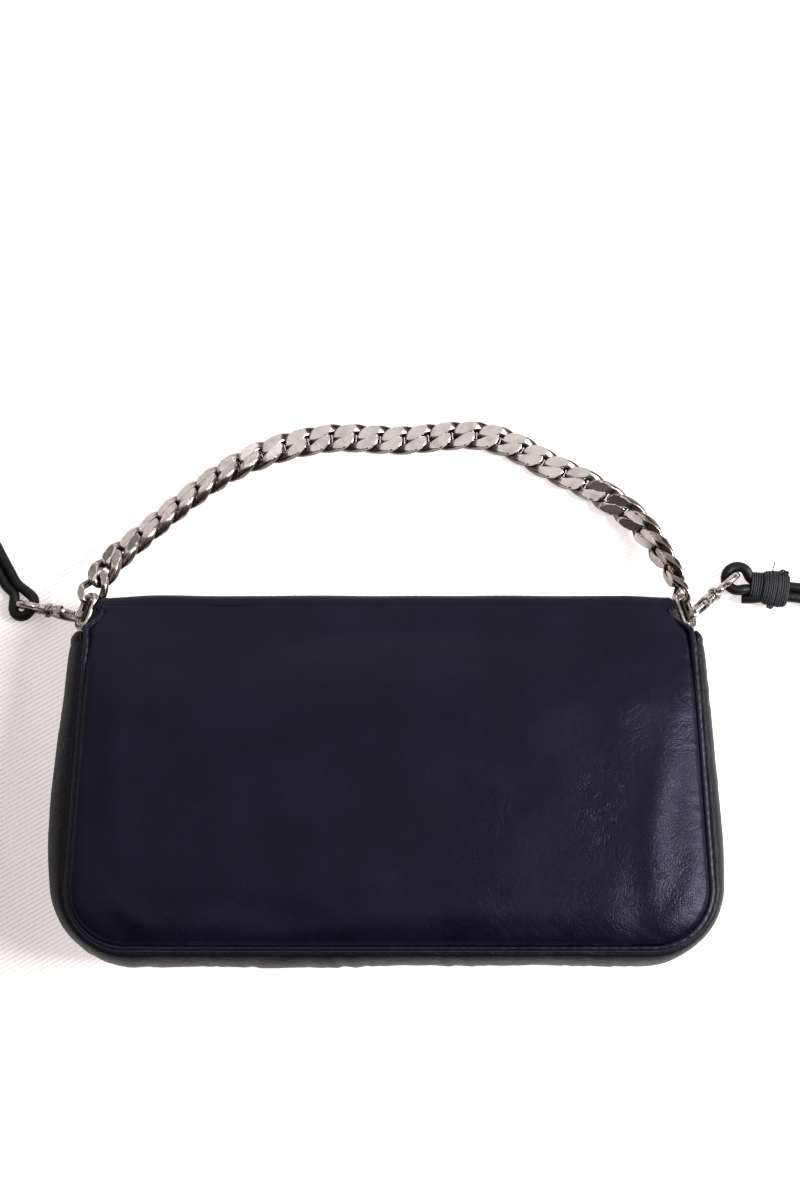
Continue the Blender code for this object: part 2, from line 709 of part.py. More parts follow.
def clasp_frame(side):
    """Axes of a clasp: X from the hook's nose to the eye, Z up the hook's height."""
    heading = clasp_heading_right if side > 0 else clasp_heading_left
    slide = cross_slide_right if side > 0 else cross_slide_left
    crossing = ring_frame(side) @ Vector((ring_edge(slide), slide, 0))
    fall = math.atan2(crossing.z - eye_height, eye_centre_s - cross_s)
    ahead = Vector((math.cos(heading) * math.cos(fall), math.sin(heading) * math.cos(fall), -math.sin(fall)))
    side_way = Vector((0, 0, 1)).cross(ahead).normalized()
    up = ahead.cross(side_way)
    frame = Matrix((ahead, side_way, up)).transposed().to_4x4()
    return Matrix.Translation(crossing - ahead * cross_s) @ frame


def hook_oval(angle, inner):
    if inner:
        middle = (hook_inner_start + hook_inner_end) / 2
        return (middle + (hook_inner_end - hook_inner_start) / 2 * math.cos(angle),
                hook_inner_half * math.sin(angle))
    return hook_long / 2 * (1 + math.cos(angle)), hook_half_high * math.sin(angle)


def oval_angle(s, inner):
    """The angle at which the oval's upper side passes s."""
    if inner:
        middle = (hook_inner_start + hook_inner_end) / 2
        return math.acos((s - middle) / ((hook_inner_end - hook_inner_start) / 2))
    return math.acos(s / (hook_long / 2) - 1)


def upright_band(name, look, outer, inner, half_thick, place):
    """An open band in X and Z between two rows of points, as thick as the function of X gives."""
    count = len(outer)
    rim = outer + inner
    points = [(s, -half_thick(s), w) for s, w in rim] + [(s, half_thick(s), w) for s, w in rim]
    other = 2 * count
    faces = [(0, count, other + count, other), (count - 1, other - 1, 2 * other - 1, other + count - 1)]
    for i in range(count - 1):
        j = count + i
        faces += [(i, i + 1, j + 1, j), (other + i, other + i + 1, other + j + 1, other + j),
                  (i, i + 1, other + i + 1, other + i), (j, j + 1, other + j + 1, other + j)]
    return piece(name, look, points, faces, place)


def upright_slab(name, look, outline, half_thick, place):
    """An outline in X and Z, as thick to both sides as the function of X gives."""
    count = len(outline)
    points = [(s, -half_thick(s), w) for s, w in outline] + [(s, half_thick(s), w) for s, w in outline]
    faces = [tuple(range(count)), tuple(range(count, 2 * count))]
    faces += [(i, (i + 1) % count, count + (i + 1) % count, count + i) for i in range(count)]
    return piece(name, look, points, faces, place)


def build_clasp(label, side, nickel):
    frame = clasp_frame(side)
    along = Matrix.Rotation(math.pi / 2, 4, "Y")

    # Hook: a flat oval with a gap for the gate, and a turned shank for the swivel
    outer = np.linspace(oval_angle(gate_near, False), 2 * math.pi + oval_angle(gate_far, False), 23)
    inner = np.linspace(oval_angle(gate_near, True), 2 * math.pi + oval_angle(gate_far, True), 23)
    outer = [hook_oval(a, False) for a in outer]
    inner = [hook_oval(a, True) for a in inner]

    def half_thick(s):
        return (hook_nose_thick + (hook_base_thick - hook_nose_thick) * s / hook_long) / 2

    hook = upright_band(label + "_clasp_hook", nickel, outer, inner, half_thick, frame)
    bore_r = shank_r + gap
    head_s = eye_boss_start + eye_boss_thick + gap
    shank = [(0, hook_inner_end + 2 * gap), (shank_r, hook_inner_end + 2 * gap), (shank_r, head_s),
             (shank_head_r, head_s), (shank_head_r, head_s + shank_head_thick / 2),
             (shank_r, head_s + shank_head_thick), (0, head_s + shank_head_thick)]
    combine(hook, turned(label + "_shank", nickel, shank, frame @ along, sides=16), "UNION")
    slot = [(pivot_s + slot_r * math.cos(a), pivot_w + slot_r * math.sin(a))
            for a in np.linspace(-2.6, 1.7, 14)]
    slot += [(gate_near + gap, hook_half_high + gap), (gate_near + gap, pivot_w - slot_r / 2)]
    combine(hook, upright_slab(label + "_slot", nickel, slot, lambda s: slot_thick / 2, frame), "DIFFERENCE")
    across = Matrix.Rotation(-math.pi / 2, 4, "X")
    pivot = frame @ Matrix.Translation((pivot_s, 0, pivot_w))
    pin_hole = [(0, -hook_base_thick), (pin_r + gap, -hook_base_thick), (pin_r + gap, hook_base_thick),
                (0, hook_base_thick)]
    combine(hook, turned(label + "_pin_hole", nickel, pin_hole, pivot @ across, sides=12), "DIFFERENCE")

    # Pin and sprung gate
    half_pin = half_thick(pivot_s) - gap / 3
    pin = [(0, -half_pin), (pin_r, -half_pin), (pin_r, half_pin), (0, half_pin)]
    turned(label + "_trigger_pin", nickel, pin, pivot @ across, sides=12)
    front = gate_near + gap - pivot_s
    level = (hook_half_high + hook_inner_half) / 2 - pivot_w
    gate = [(pivot_boss_r * math.cos(a), pivot_boss_r * math.sin(a)) for a in np.linspace(-2.2, 2.2, 11)]
    nub_back = -1.6 * pivot_boss_r
    nub_front = nub_back - 1.5 * pivot_boss_r
    gate += [(nub_back, level + gate_half_high), (nub_back - gap, level + gate_nub_high + gate_half_high),
             (nub_front, level + gate_nub_high), (nub_front - gap, level + gate_half_high),
             (front, level + gate_half_high / 2), (front, level - gate_half_high),
             (nub_back, level - gate_half_high)]
    made = upright_slab(label + "_clasp_trigger", nickel, gate, lambda s: gate_thick / 2, pivot)
    eye = [(0, -gate_thick), (pin_r + gap, -gate_thick), (pin_r + gap, gate_thick), (0, gate_thick)]
    combine(made, turned(label + "_gate_bore", nickel, eye, pivot @ across, sides=12), "DIFFERENCE")

    # Eye: a wire bow standing on its turned boss
    start = Matrix.Translation((eye_boss_start, 0, 0))
    boss = [(bore_r, 0), (eye_boss_r, 0), (eye_boss_r, eye_boss_thick), (bore_r, eye_boss_thick)]
    made = turned(label + "_clasp_eye", nickel, boss, frame @ start @ along, sides=20)
    root_s = eye_boss_start + eye_boss_thick / 2
    root_w = bore_r + eye_wire_r + gap / 2
    turn = np.linspace(2.35, -2.35, 15)
    bow = [(root_s, 0, root_w), (root_s + eye_wire_r, 0, root_w + eye_wire_r / 2)]
    bow += [(eye_centre_s + eye_r * math.cos(a), 0, eye_r * math.sin(a)) for a in turn]
    bow += [(root_s + eye_wire_r, 0, -root_w - eye_wire_r / 2), (root_s, 0, -root_w)]
    combine(made, tube(label + "_bow", nickel, bow, eye_wire_r, place=frame), "UNION")


def eye_point(side, ahead=0.0):
    return clasp_frame(side) @ Vector((eye_centre_s + ahead, 0, 0))


def build_strap(cord_hide, thread):
    # Left loop: one cord through the eye and round its tip
    eye = eye_point(-1)
    route = [(-bar_x - out, y) for out, y in strap_left_route]
    route = np.array(route + [(bar_x + out, y) for out, y in strap_right_route])
    start = route[0]
    way = route[1] - route[0]
    way /= np.linalg.norm(way)
    across = np.array([way[1], -way[0]])
    half = cord_space / 2
    tip_way = np.array([math.cos(clasp_heading_left), math.sin(clasp_heading_left)])
    through = np.array([tip_way[1], -tip_way[0]])
    bend = left_loop_r
    past_tip = eye_r + eye_wire_r + cord_d / 2 + gap
    middle = np.array([eye.x, eye.y]) + (past_tip - bend) * tip_way - left_loop_drop * through
    arc = np.linspace(0.0, math.pi, 7)
    round_tip = [middle - bend * math.cos(a) * tip_way - bend * math.sin(a) * through for a in arc]
    near, far = round_tip[0] + left_loop_drop * through, round_tip[-1] + left_loop_drop * through
    plan = [start + half * across, start + half * across - cord_d / 2 * way, near + through * cord_d * 0.7, near]
    plan += round_tip + [far, far + through * cord_d * 0.7 + way * cord_d * 0.3]
    plan += [start - half * across - cord_d / 2 * way, start - half * across]
    level = [cord_z, cord_z, (cord_z + loop_hole_z) / 2, loop_hole_z]
    level += [loop_hole_z + (cord_z - loop_hole_z) * s for s in np.linspace(0.1, 1.0, len(arc))]
    level += [cord_z] * 4
    line = [(*map(float, p), z) for p, z in zip(plan, level)]
    cord("strap_left_loop", cord_hide, spaced(smooth_line(line, 12), 28), cord_d)

    # Right loop: through the eye, both ends into the knot
    eye = eye_point(1)
    heading = clasp_heading_right - right_loop_turn
    middle = np.array([eye.x + right_loop_r * math.cos(heading), eye.y + right_loop_r * math.sin(heading)])
    knot_way = np.array([math.cos(knot_heading), math.sin(knot_heading)])
    knot_side = np.array([-knot_way[1], knot_way[0]])
    mouth = np.array([knot_start, knot_y]) - 2.2 * gap * knot_way
    lead = mouth - 0.7 * cord_d * knot_way
    turn = np.linspace(knot_heading + 1.25, knot_heading + 2 * math.pi - 1.25, 11)
    ring = [(middle[0] + right_loop_r * math.cos(a), middle[1] + right_loop_r * math.sin(a)) for a in turn]
    level = [knot_half_high] * 2 + [loop_hole_z] * len(ring) + [knot_half_high] * 2
    plan = [mouth + half * knot_side, lead + half * knot_side] + ring
    plan += [lead - half * knot_side, mouth - half * knot_side]
    line = [(*map(float, p), z) for p, z in zip(plan, level)]
    cord("strap_right_loop", cord_hide, spaced(smooth_line(line, 10), 30), cord_d)

    # Knot: the whipping's barrel
    share = np.linspace(0.0, 1.0, 7)
    swell = [0.72 + 0.28 * math.sin(math.pi * s)**0.5 for s in share]
    turn = [2 * math.pi * i / 16 for i in range(16)]
    rings = []
    for s, grow in zip(share, swell):
        centre = np.array([knot_start, knot_y]) + knot_way * knot_long * s
        rings += [(*(centre + knot_side * knot_half_wide * grow * math.cos(a)),
                   knot_half_high * (1 + grow * math.sin(a)) + gap / 3) for a in turn]
    faces = grid_faces(len(share), 16, wrap=True)
    faces += [tuple(range(16)), tuple(range(6 * 16, 7 * 16))]
    piece("right_knot", thread, rings, faces)

    # Two cords side by side on the ground, from the left loop to the knot
    tail = np.array([knot_start, knot_y]) + knot_way * (knot_long + 1.2 * gap)
    outer = tail + 2.5 * cord_d * knot_way
    whole = np.vstack([route, [outer], [tail]])
    fine = smooth_line(whole, 30)
    along = np.gradient(fine, axis=0)
    step = np.linalg.norm(along, axis=1)
    along /= step[:, None]
    turning = np.linalg.norm(np.gradient(along, axis=0), axis=1)
    reach = np.cumsum(step + 4 * cord_d * turning)
    want = np.linspace(reach[0], reach[-1], strand_points)
    stations = np.stack([np.interp(want, reach, fine[:, k]) for k in range(2)], axis=-1)
    ways = np.stack([np.interp(want, reach, along[:, k]) for k in range(2)], axis=-1)
    ways[0], ways[-1] = way, -knot_way
    stations[0] += 1.6 * gap * way
    left_over = np.linalg.norm(stations - tail, axis=1)
    rise = (knot_cord_z - cord_z) * np.exp(-(left_over / (2.5 * cord_d))**2)
    stations[-2] = tail + 0.8 * cord_d * knot_way
    rise[-2], ways[-2] = rise[-1], -knot_way
    ways /= np.linalg.norm(ways, axis=1)[:, None]
    side = np.stack([ways[:, 1], -ways[:, 0]], axis=-1)
    for name, shift in (("strap_strand_a", half), ("strap_strand_b", -half)):
        line = np.column_stack([stations + shift * side, cord_z + rise])
        cord(name, cord_hide, line, cord_d)
        print(name, "length", round(float(np.linalg.norm(np.diff(line, axis=0), axis=1).sum()), 4))


def main():
    hide = material("navy_black_nappa", (0.012, 0.011, 0.020), 0.42, 0.0)
    edge_hide = material("navy_black_welt", (0.012, 0.011, 0.020), 0.38, 0.0)
    lining_cloth = material("black_lining", (0.010, 0.010, 0.012), 0.9, 0.0)
    board_fibre = material("grey_fibre_board", (0.10, 0.09, 0.08), 0.9, 0.0)
    nickel = material("satin_nickel", (0.46, 0.42, 0.40), 0.30, 1.0)
    cord_hide = material("black_cord_hide", (0.012, 0.012, 0.013), 0.5, 0.0)
    thread = material("navy_whipping_thread", (0.016, 0.015, 0.028), 0.7, 0.0)
    build_body(hide, edge_hide, lining_cloth, board_fibre)
    build_flap(hide, lining_cloth, nickel)
    for label, side in (("left", -1), ("right", 1)):
        build_ring(label, side, nickel, hide)
        build_clasp(label, side, nickel)
    build_chain(nickel)
    build_strap(cord_hide, thread)


main()
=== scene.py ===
import bpy
import bmesh
import math
import numpy as np
from mathutils import Matrix, Vector


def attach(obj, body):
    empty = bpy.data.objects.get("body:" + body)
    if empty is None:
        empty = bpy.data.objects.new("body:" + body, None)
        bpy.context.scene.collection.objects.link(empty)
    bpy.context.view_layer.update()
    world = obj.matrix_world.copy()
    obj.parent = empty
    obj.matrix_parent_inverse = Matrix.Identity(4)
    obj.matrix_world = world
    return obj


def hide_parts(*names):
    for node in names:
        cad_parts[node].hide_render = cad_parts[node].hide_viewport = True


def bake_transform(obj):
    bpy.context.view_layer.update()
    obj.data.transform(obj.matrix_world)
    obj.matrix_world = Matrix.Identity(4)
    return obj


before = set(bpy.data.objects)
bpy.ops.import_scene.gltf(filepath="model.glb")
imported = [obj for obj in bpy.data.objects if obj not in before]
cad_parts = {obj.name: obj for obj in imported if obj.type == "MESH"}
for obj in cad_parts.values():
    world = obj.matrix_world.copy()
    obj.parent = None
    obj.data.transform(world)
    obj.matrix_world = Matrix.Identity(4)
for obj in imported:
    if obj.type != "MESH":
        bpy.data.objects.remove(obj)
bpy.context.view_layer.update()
print("stage: frame loaded")

gap = 0.0003  # room left between pieces, in metres as all sizes here


# Shared shape helpers

# Quads between the points of a grid, which may close on itself either way
def gridQuads(rows, cols, wrapRows=False, wrapCols=False):
    r = np.arange(rows if wrapRows else rows - 1)[:, None]
    c = np.arange(cols if wrapCols else cols - 1)[None, :]
    r2 = (r + 1) % rows
    c2 = (c + 1) % cols
    return np.stack([r * cols + c, r * cols + c2, r2 * cols + c2, r2 * cols + c], axis=-1).reshape(-1, 4)


# Mesh from points and a list of face arrays, one array per count of corners.
# out is the way an open sheet's middle face points, sharp the angle of hard edges, thick a sheet's wall
def makePiece(name, points, faces, look, body, slot, nodes=(), out=None, sharp=None, thick=None):
    points = np.asarray(points, float).reshape(-1, 3)
    faces = [np.asarray(f, int) for f in faces]
    corners = np.concatenate([f.ravel() for f in faces])
    sizes = np.concatenate([np.full(len(f), f.shape[1]) for f in faces])
    mesh = bpy.data.meshes.new(name)
    mesh.vertices.add(len(points))
    mesh.vertices.foreach_set("co", points.ravel())
    mesh.loops.add(len(corners))
    mesh.loops.foreach_set("vertex_index", corners)
    mesh.polygons.add(len(sizes))
    mesh.polygons.foreach_set("loop_start", np.concatenate([[0], np.cumsum(sizes)[:-1]]))
    mesh.update(calc_edges=True)
    shape = bmesh.new()
    shape.from_mesh(mesh)
    if out is None:
        bmesh.ops.recalc_face_normals(shape, faces=shape.faces[:])
    else:
        shape.faces.ensure_lookup_table()
        middle = shape.faces[len(shape.faces) // 3]
        if middle.normal.dot(Vector(out)) < 0:
            bmesh.ops.reverse_faces(shape, faces=shape.faces[:])
    shape.to_mesh(mesh)
    shape.free()
    mesh.shade_smooth()
    if sharp is not None:
        mesh.set_sharp_from_angle(angle=math.radians(sharp))
    mesh.materials.append(look)
    made = bpy.data.objects.new(name, mesh)
    bpy.context.collection.objects.link(made)
    if body:
        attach(made, body)
    if nodes:
        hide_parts(*nodes)
    if thick:
        wall = made.modifiers.new("thick", "SOLIDIFY")
        wall.thickness = thick
        wall.offset = -1.0
    return made


# A sheet of leather or cloth from a grid of points, given its wall
def makeSheet(name, grid, look, body, slot, nodes, out, thick, wrapCols=False):
    faces = gridQuads(*grid.shape[:2], wrapCols=wrapCols)
    return makePiece(name, grid, [faces], look, body, slot, nodes, out=out, thick=thick)


# A smooth curve through points, each span a cubic that leaves along its neighbours' mean
def smoothLine(points, perSpan):
    points = np.asarray(points, float)
    before = np.vstack([2 * points[0] - points[1], points[:-1]])
    after = np.vstack([points[1:], 2 * points[-1] - points[-2]])
    slope = (after - before) / 2
    t = np.linspace(0.0, 1.0, perSpan, endpoint=False)[:, None]
    spans = []
    for a, b, sa, sb in zip(points[:-1], points[1:], slope[:-1], slope[1:]):
        spans.append((2 * t**3 - 3 * t**2 + 1) * a + (t**3 - 2 * t**2 + t) * sa
                     + (3 * t**2 - 2 * t**3) * b + (t**3 - t**2) * sb)
    return np.vstack(spans + [points[-1:]])


# How far along a line each of its points lies
def arcLength(line):
    step = np.linalg.norm(np.diff(line, axis=0), axis=1)
    return np.concatenate([[0.0], np.cumsum(step)])


# The same line with evenly spaced points
def spacedLine(line, count):
    reach = arcLength(line)
    want = np.linspace(0.0, reach[-1], count)
    return np.stack([np.interp(want, reach, line[:, k]) for k in range(line.shape[1])], axis=-1)


# A line with its corners averaged away over a window of points; its ends stay
def softened(line, window):
    padded = np.vstack([2 * line[0] - line[window:0:-1], line, 2 * line[-1] - line[-2:-window - 2:-1]])
    weights = np.hanning(2 * window + 1)
    weights /= weights.sum()
    return np.stack([np.convolve(padded[:, k], weights, "valid") for k in range(line.shape[1])], axis=-1)


# A vector, or each of many, at length one
def unit(v):
    return v / np.linalg.norm(v, axis=-1, keepdims=True)


# Points from three coordinates that are spread to one shape
def pointsOf(x, y, z):
    return np.stack(np.broadcast_arrays(x, y, z), axis=-1)


# Turns a circle's sine or cosine into a rounded square's; an exponent of 2 leaves the circle
def squared(wave, exponent):
    return np.sign(wave) * np.abs(wave)**(2 / exponent)


# Rings of points carried along a line without twist, round or squared
def tubeRings(line, radii, sides, closed=False, squareness=2.0, up=(0.0, 0.0, 1.0)):
    line = np.asarray(line, float)
    along = (np.roll(line, -1, axis=0) - np.roll(line, 1, axis=0)) if closed else np.gradient(line, axis=0)
    along = unit(along)
    radii = np.broadcast_to(radii, (len(line),))
    side = np.cross(along[0], up)
    if np.linalg.norm(side) < 0.1:
        side = np.cross(along[0], (0.0, 1.0, 0.0))
    turn = 2 * np.pi * np.arange(sides) / sides
    cos, sin = squared(np.cos(turn), squareness), squared(np.sin(turn), squareness)
    rings = np.empty((len(line), sides, 3))
    for i, ahead in enumerate(along):
        side = side - ahead * np.dot(side, ahead)
        side = side / np.linalg.norm(side)
        rings[i] = line[i] + radii[i] * (np.outer(cos, side) + np.outer(sin, np.cross(side, ahead)))
    return rings


# Quads between rings, and a cap at each end unless the rings close on themselves
def tubeFaces(rows, sides, closed=False):
    faces = [gridQuads(rows, sides, wrapRows=closed, wrapCols=True)]
    if not closed:
        faces.append(np.array([np.arange(sides), np.arange((rows - 1) * sides, rows * sides)]))
    return faces


def tubeShape(line, radii, sides, closed=False, **how):
    return tubeRings(line, radii, sides, closed, **how), tubeFaces(len(line), sides, closed)


# Several (points, faces) shapes as one
def joinShapes(parts):
    points, faces, start = [], [], 0
    for p, fs in parts:
        p = np.asarray(p, float).reshape(-1, 3)
        points.append(p)
        faces += [np.asarray(f) + start for f in fs]
        start += len(p)
    return np.vstack(points), faces


# A closed body turned about X from (x, radius) pairs that start and end on the axis
def turnedShape(profile, sides):
    turn = 2 * np.pi * np.arange(sides) / sides
    inner = profile[1:-1]
    rings = np.array([[(x, r * math.cos(a), r * math.sin(a)) for a in turn] for x, r in inner])
    count = len(inner)
    points = np.vstack([rings.reshape(-1, 3), [(profile[0][0], 0, 0), (profile[-1][0], 0, 0)]])
    i = np.arange(sides)
    j = (i + 1) % sides
    lastRing = (count - 1) * sides
    firstCap = np.stack([np.full(sides, count * sides), i, j], axis=-1)
    lastCap = np.stack([np.full(sides, count * sides + 1), lastRing + j, lastRing + i], axis=-1)
    return points, [gridQuads(count, sides, wrapCols=True), np.vstack([firstCap, lastCap])]


# A shape turned and moved by a matrix
def placeShape(shape, place):
    points, faces = shape
    points = np.asarray(points, float).reshape(-1, 3)
    m = np.array(place)
    return points @ m[:3, :3].T + m[:3, 3], faces


# A place whose X runs ahead, Y to the side and Z square to both
def placeAt(origin, ahead, side):
    return Matrix.Translation(origin) @ Matrix((ahead, side, ahead.cross(side))).transposed().to_4x4()


# A smooth wavy value in -1..1: sines whose wavelengths lie between low and high
def ripple(s, seed, waves, low, high):
    pick = np.random.default_rng(seed)
    total = 0.0
    for _ in range(waves):
        total = total + np.sin(2 * np.pi * s / pick.uniform(low, high) + pick.uniform(0, 2 * np.pi))
    return total / waves


# The same over a plane, in seeded directions
def ripple2(x, y, seed, waves, low, high):
    pick = np.random.default_rng(seed)
    total = 0.0
    for _ in range(waves):
        a = pick.uniform(0, 2 * np.pi)
        k = 2 * np.pi / pick.uniform(low, high)
        total = total + np.sin(k * (x * math.cos(a) + y * math.sin(a)) + pick.uniform(0, 2 * np.pi))
    return total / math.sqrt(waves)


# Nought up to low, one from high on, and a soft slope between
def smoothStep(x, low, high):
    t = np.clip((x - low) / (high - low), 0.0, 1.0)
    return t * t * (3 - 2 * t)


# One at nought, dying away over a width
def fadeOut(x, width, power=2):
    return np.exp(-(x / width)**power)


# Camera

cameraSettings = {"lens": 50.0, "sensor": 36.0, "distance": 0.620, "elevation": 80.0,
                  "target": (0.0052, 0.066, 0.0)}


# The camera stands on the near side and looks down at the target
def makeCamera(s):
    data = bpy.data.cameras.new("camera")
    data.lens = s["lens"]
    data.sensor_width = s["sensor"]
    data.clip_start = 0.01
    made = bpy.data.objects.new("camera", data)
    bpy.context.collection.objects.link(made)
    tilt = math.radians(s["elevation"])
    made.location = Vector(s["target"]) + s["distance"] * Vector((0.0, -math.cos(tilt), math.sin(tilt)))
    made.rotation_euler = (math.pi / 2 - tilt, 0.0, 0.0)
    bpy.context.scene.camera = made


makeCamera(cameraSettings)


# Materials

# A new material with its nodes and its shader
def newTree(name):
    made = bpy.data.materials.new(name)
    made.use_nodes = True
    return made, made.node_tree, made.node_tree.nodes["Principled BSDF"]


# An input takes a constant, a colour or another node's output
def feed(tree, value, socket):
    if isinstance(value, bpy.types.NodeSocket):
        tree.links.new(value, socket)
    elif socket.type == "RGBA":
        socket.default_value = (*value, 1.0)
    else:
        socket.default_value = value


# Sets a node's properties and inputs by name; an underscore stands for a space
def setNode(tree, node, **values):
    for key, value in values.items():
        if hasattr(node, key):
            setattr(node, key, value)
        else:
            feed(tree, value, node.inputs[key.replace("_", " ")])
    return node


def addNode(tree, kind, **values):
    return setNode(tree, tree.nodes.new("ShaderNode" + kind), **values)


# A node that works something out from its inputs in order
def workOut(tree, kind, how, *values):
    node = addNode(tree, kind, operation=how)
    for socket, value in zip(node.inputs, values):
        feed(tree, value, socket)
    return node


def mathNode(tree, how, *values):
    return workOut(tree, "Math", how, *values).outputs[0]


def times(tree, a, b):
    return mathNode(tree, "MULTIPLY", a, b)


def plus(tree, a, b):
    return mathNode(tree, "ADD", a, b)


def mixColour(tree, share, a, b):
    node = addNode(tree, "Mix", data_type="RGBA")
    for i, value in ((0, share), (6, a), (7, b)):
        feed(tree, value, node.inputs[i])
    return node.outputs[2]


# A smooth step: from low and high, to low and high
def rampNode(tree, value, stops):
    node = addNode(tree, "MapRange", interpolation_type="SMOOTHSTEP", Value=value)
    for socket, number in zip(node.inputs[1:5], stops):
        socket.default_value = number
    return node.outputs[0]


def objectPlace(tree):
    return addNode(tree, "TexCoord").outputs["Object"]


def noise(tree, place, scale, detail, **more):
    return addNode(tree, "TexNoise", Vector=place, Scale=scale, Detail=detail, **more).outputs["Fac"]


# Distance to the edges of cells whose places are pushed about by a noise
def warpedCells(tree, place, warpScale, warpDetail, push, cellScale, **mapping):
    warp = addNode(tree, "TexNoise", Vector=place, Scale=warpScale, Detail=warpDetail).outputs["Color"]
    place = workOut(tree, "VectorMath", "MULTIPLY_ADD", warp, push, place).outputs[0]
    if mapping:
        place = addNode(tree, "Mapping", Vector=place, **mapping).outputs[0]
    cells = addNode(tree, "TexVoronoi", feature="DISTANCE_TO_EDGE", Vector=place, Scale=cellScale)
    return cells.outputs["Distance"]


# Normals of a surface that a height raises by up to depth
def relief(tree, height, strength, depth):
    return addNode(tree, "Bump", Strength=strength, Distance=depth, Height=height).outputs["Normal"]


# A node group whose inputs and outputs are numbers, each input 1 unless set
def newGroup(name, inputs, outputs):
    group = bpy.data.node_groups.new(name, "ShaderNodeTree")
    for label in inputs:
        socket = group.interface.new_socket(label, in_out="INPUT", socket_type="NodeSocketFloat")
        socket.default_value = 1.0
    for label in outputs:
        group.interface.new_socket(label, in_out="OUTPUT", socket_type="NodeSocketFloat")
    return group, group.nodes.new("NodeGroupInput"), group.nodes.new("NodeGroupOutput")


# Where the hide is creased by use: centre x and y, half length across and along
wornSpots = [(0.076, 0.035, 0.011, 0.022), (0.074, -0.012, 0.012, 0.021), (0.098, -0.036, 0.012, 0.018)]


# Fine broken creases inside the worn spots, nought elsewhere
def wornGroup():
    group, given, result = newGroup("wornCreases", ["Depth"], ["Height"])
    place = objectPlace(group)
    mask = 0.0
    for x, y, halfX, halfY in wornSpots:
        shifted = workOut(group, "VectorMath", "MULTIPLY_ADD", place, (1 / halfX, 1 / halfY, 0.0),
                          (-x / halfX, -y / halfY, 0.0))
        far = workOut(group, "VectorMath", "LENGTH", shifted.outputs[0])
        spot = rampNode(group, far.outputs["Value"], (0.35, 1.15, 1.0, 0.0))
        mask = mathNode(group, "MAXIMUM", mask, spot)
    patchy = rampNode(group, noise(group, place, 150.0, 2.0), (0.42, 0.60, 0.0, 1.0))
    cells = warpedCells(group, place, 230.0, 3.0, (0.004, 0.004, 0.0), 950.0,
                        Rotation=(0.0, 0.0, 0.5), Scale=(1.0, 0.55, 0.2))
    valley = mathNode(group, "SUBTRACT", rampNode(group, cells, (0.0, 0.22, 0.0, 1.0)), 1.0)
    deep = times(group, times(group, valley, times(group, mask, patchy)), given.outputs["Depth"])
    setNode(group, result, Height=deep)
    return group


# Nappa: cells of grain broken up by fine creases, and slow changes of tone
def leatherGroup():
    group, given, result = newGroup("nappaGrain", ["Grain", "Crease", "Size"], ["Height", "Tone", "Sheen"])
    place = addNode(group, "VectorMath", operation="SCALE", Vector=objectPlace(group),
                    Scale=given.outputs["Size"]).outputs[0]
    cells = warpedCells(group, place, 420.0, 2.0, (0.0006, 0.0006, 0.0006), 1350.0)
    pebble = rampNode(group, cells, (0.0, 0.16, 0.0, 1.0))
    pores = noise(group, place, 3200.0, 3.0, Roughness=0.6)
    grain = times(group, plus(group, times(group, pebble, 0.7), times(group, pores, 0.5)),
                  given.outputs["Grain"])
    folds = noise(group, place, 95.0, 5.0, Roughness=0.62, Distortion=0.8)
    ridge = mathNode(group, "ABSOLUTE", mathNode(group, "SUBTRACT", folds, 0.5))
    crease = mathNode(group, "SUBTRACT", rampNode(group, ridge, (0.0, 0.055, 0.0, 1.0)), 1.0)
    where = rampNode(group, noise(group, place, 22.0, 2.0), (0.46, 0.66, 0.15, 1.0))
    creased = times(group, crease, times(group, where, given.outputs["Crease"]))
    setNode(group, result, Height=plus(group, grain, times(group, creased, 1.6)),
            Tone=rampNode(group, noise(group, place, 34.0, 4.0, Roughness=0.55), (0.3, 0.72, 0.0, 1.0)),
            Sheen=noise(group, place, 180.0, 3.0))
    return group


nappa = leatherGroup()
worn = wornGroup()
grainDepth = 0.00022


# Leather of two tones; wear adds the worn creases, sheen tints what it mirrors
def leatherLook(name, dark, light, rough, grain=1.0, crease=1.0, size=1.0, bump=0.25, specular=0.5, wear=0.0,
                sheen=(1.0, 1.0, 1.0)):
    made, tree, shader = newTree(name)
    hide = addNode(tree, "Group", node_tree=nappa, Grain=grain, Crease=crease, Size=size).outputs
    height = hide["Height"]
    if wear:
        height = plus(tree, height, addNode(tree, "Group", node_tree=worn, Depth=wear).outputs["Height"])
    setNode(tree, shader, Base_Color=mixColour(tree, hide["Tone"], dark, light),
            Roughness=plus(tree, times(tree, hide["Sheen"], 0.16), rough - 0.08),
            Normal=relief(tree, height, bump, grainDepth), Specular_IOR_Level=specular, Specular_Tint=sheen)
    return made


# Satin plate: fine rubbed lines and tarnish in patches; the last colour, if given, is painted shade off the
# ground flats
def metalLook(name, colour, dull, rough, paintedShade=None):
    made, tree, shader = newTree(name)
    place = objectPlace(tree)
    stretch = addNode(tree, "Mapping", Vector=place, Rotation=(0.2, 0.1, 0.5), Scale=(900.0, 5200.0, 3000.0))
    lines = noise(tree, stretch.outputs[0], 1.0, 3.0, Roughness=0.6)
    tarnish = rampNode(tree, noise(tree, place, 260.0, 4.0, Roughness=0.6), (0.42, 0.7, 0.0, 1.0))
    shade = mixColour(tree, tarnish, colour, dull)
    if paintedShade:
        # Painted shade: the rounded wire between a link's ground flats takes the dark colour
        face = addNode(tree, "Attribute", attribute_name="unshadedFlats").outputs["Fac"]
        shade = mixColour(tree, face, paintedShade, shade)
    setNode(tree, shader, Base_Color=shade, Roughness=plus(tree, times(tree, lines, 0.14), rough - 0.06),
            Normal=relief(tree, lines, 0.03, 0.0001), Metallic=1.0)
    return made


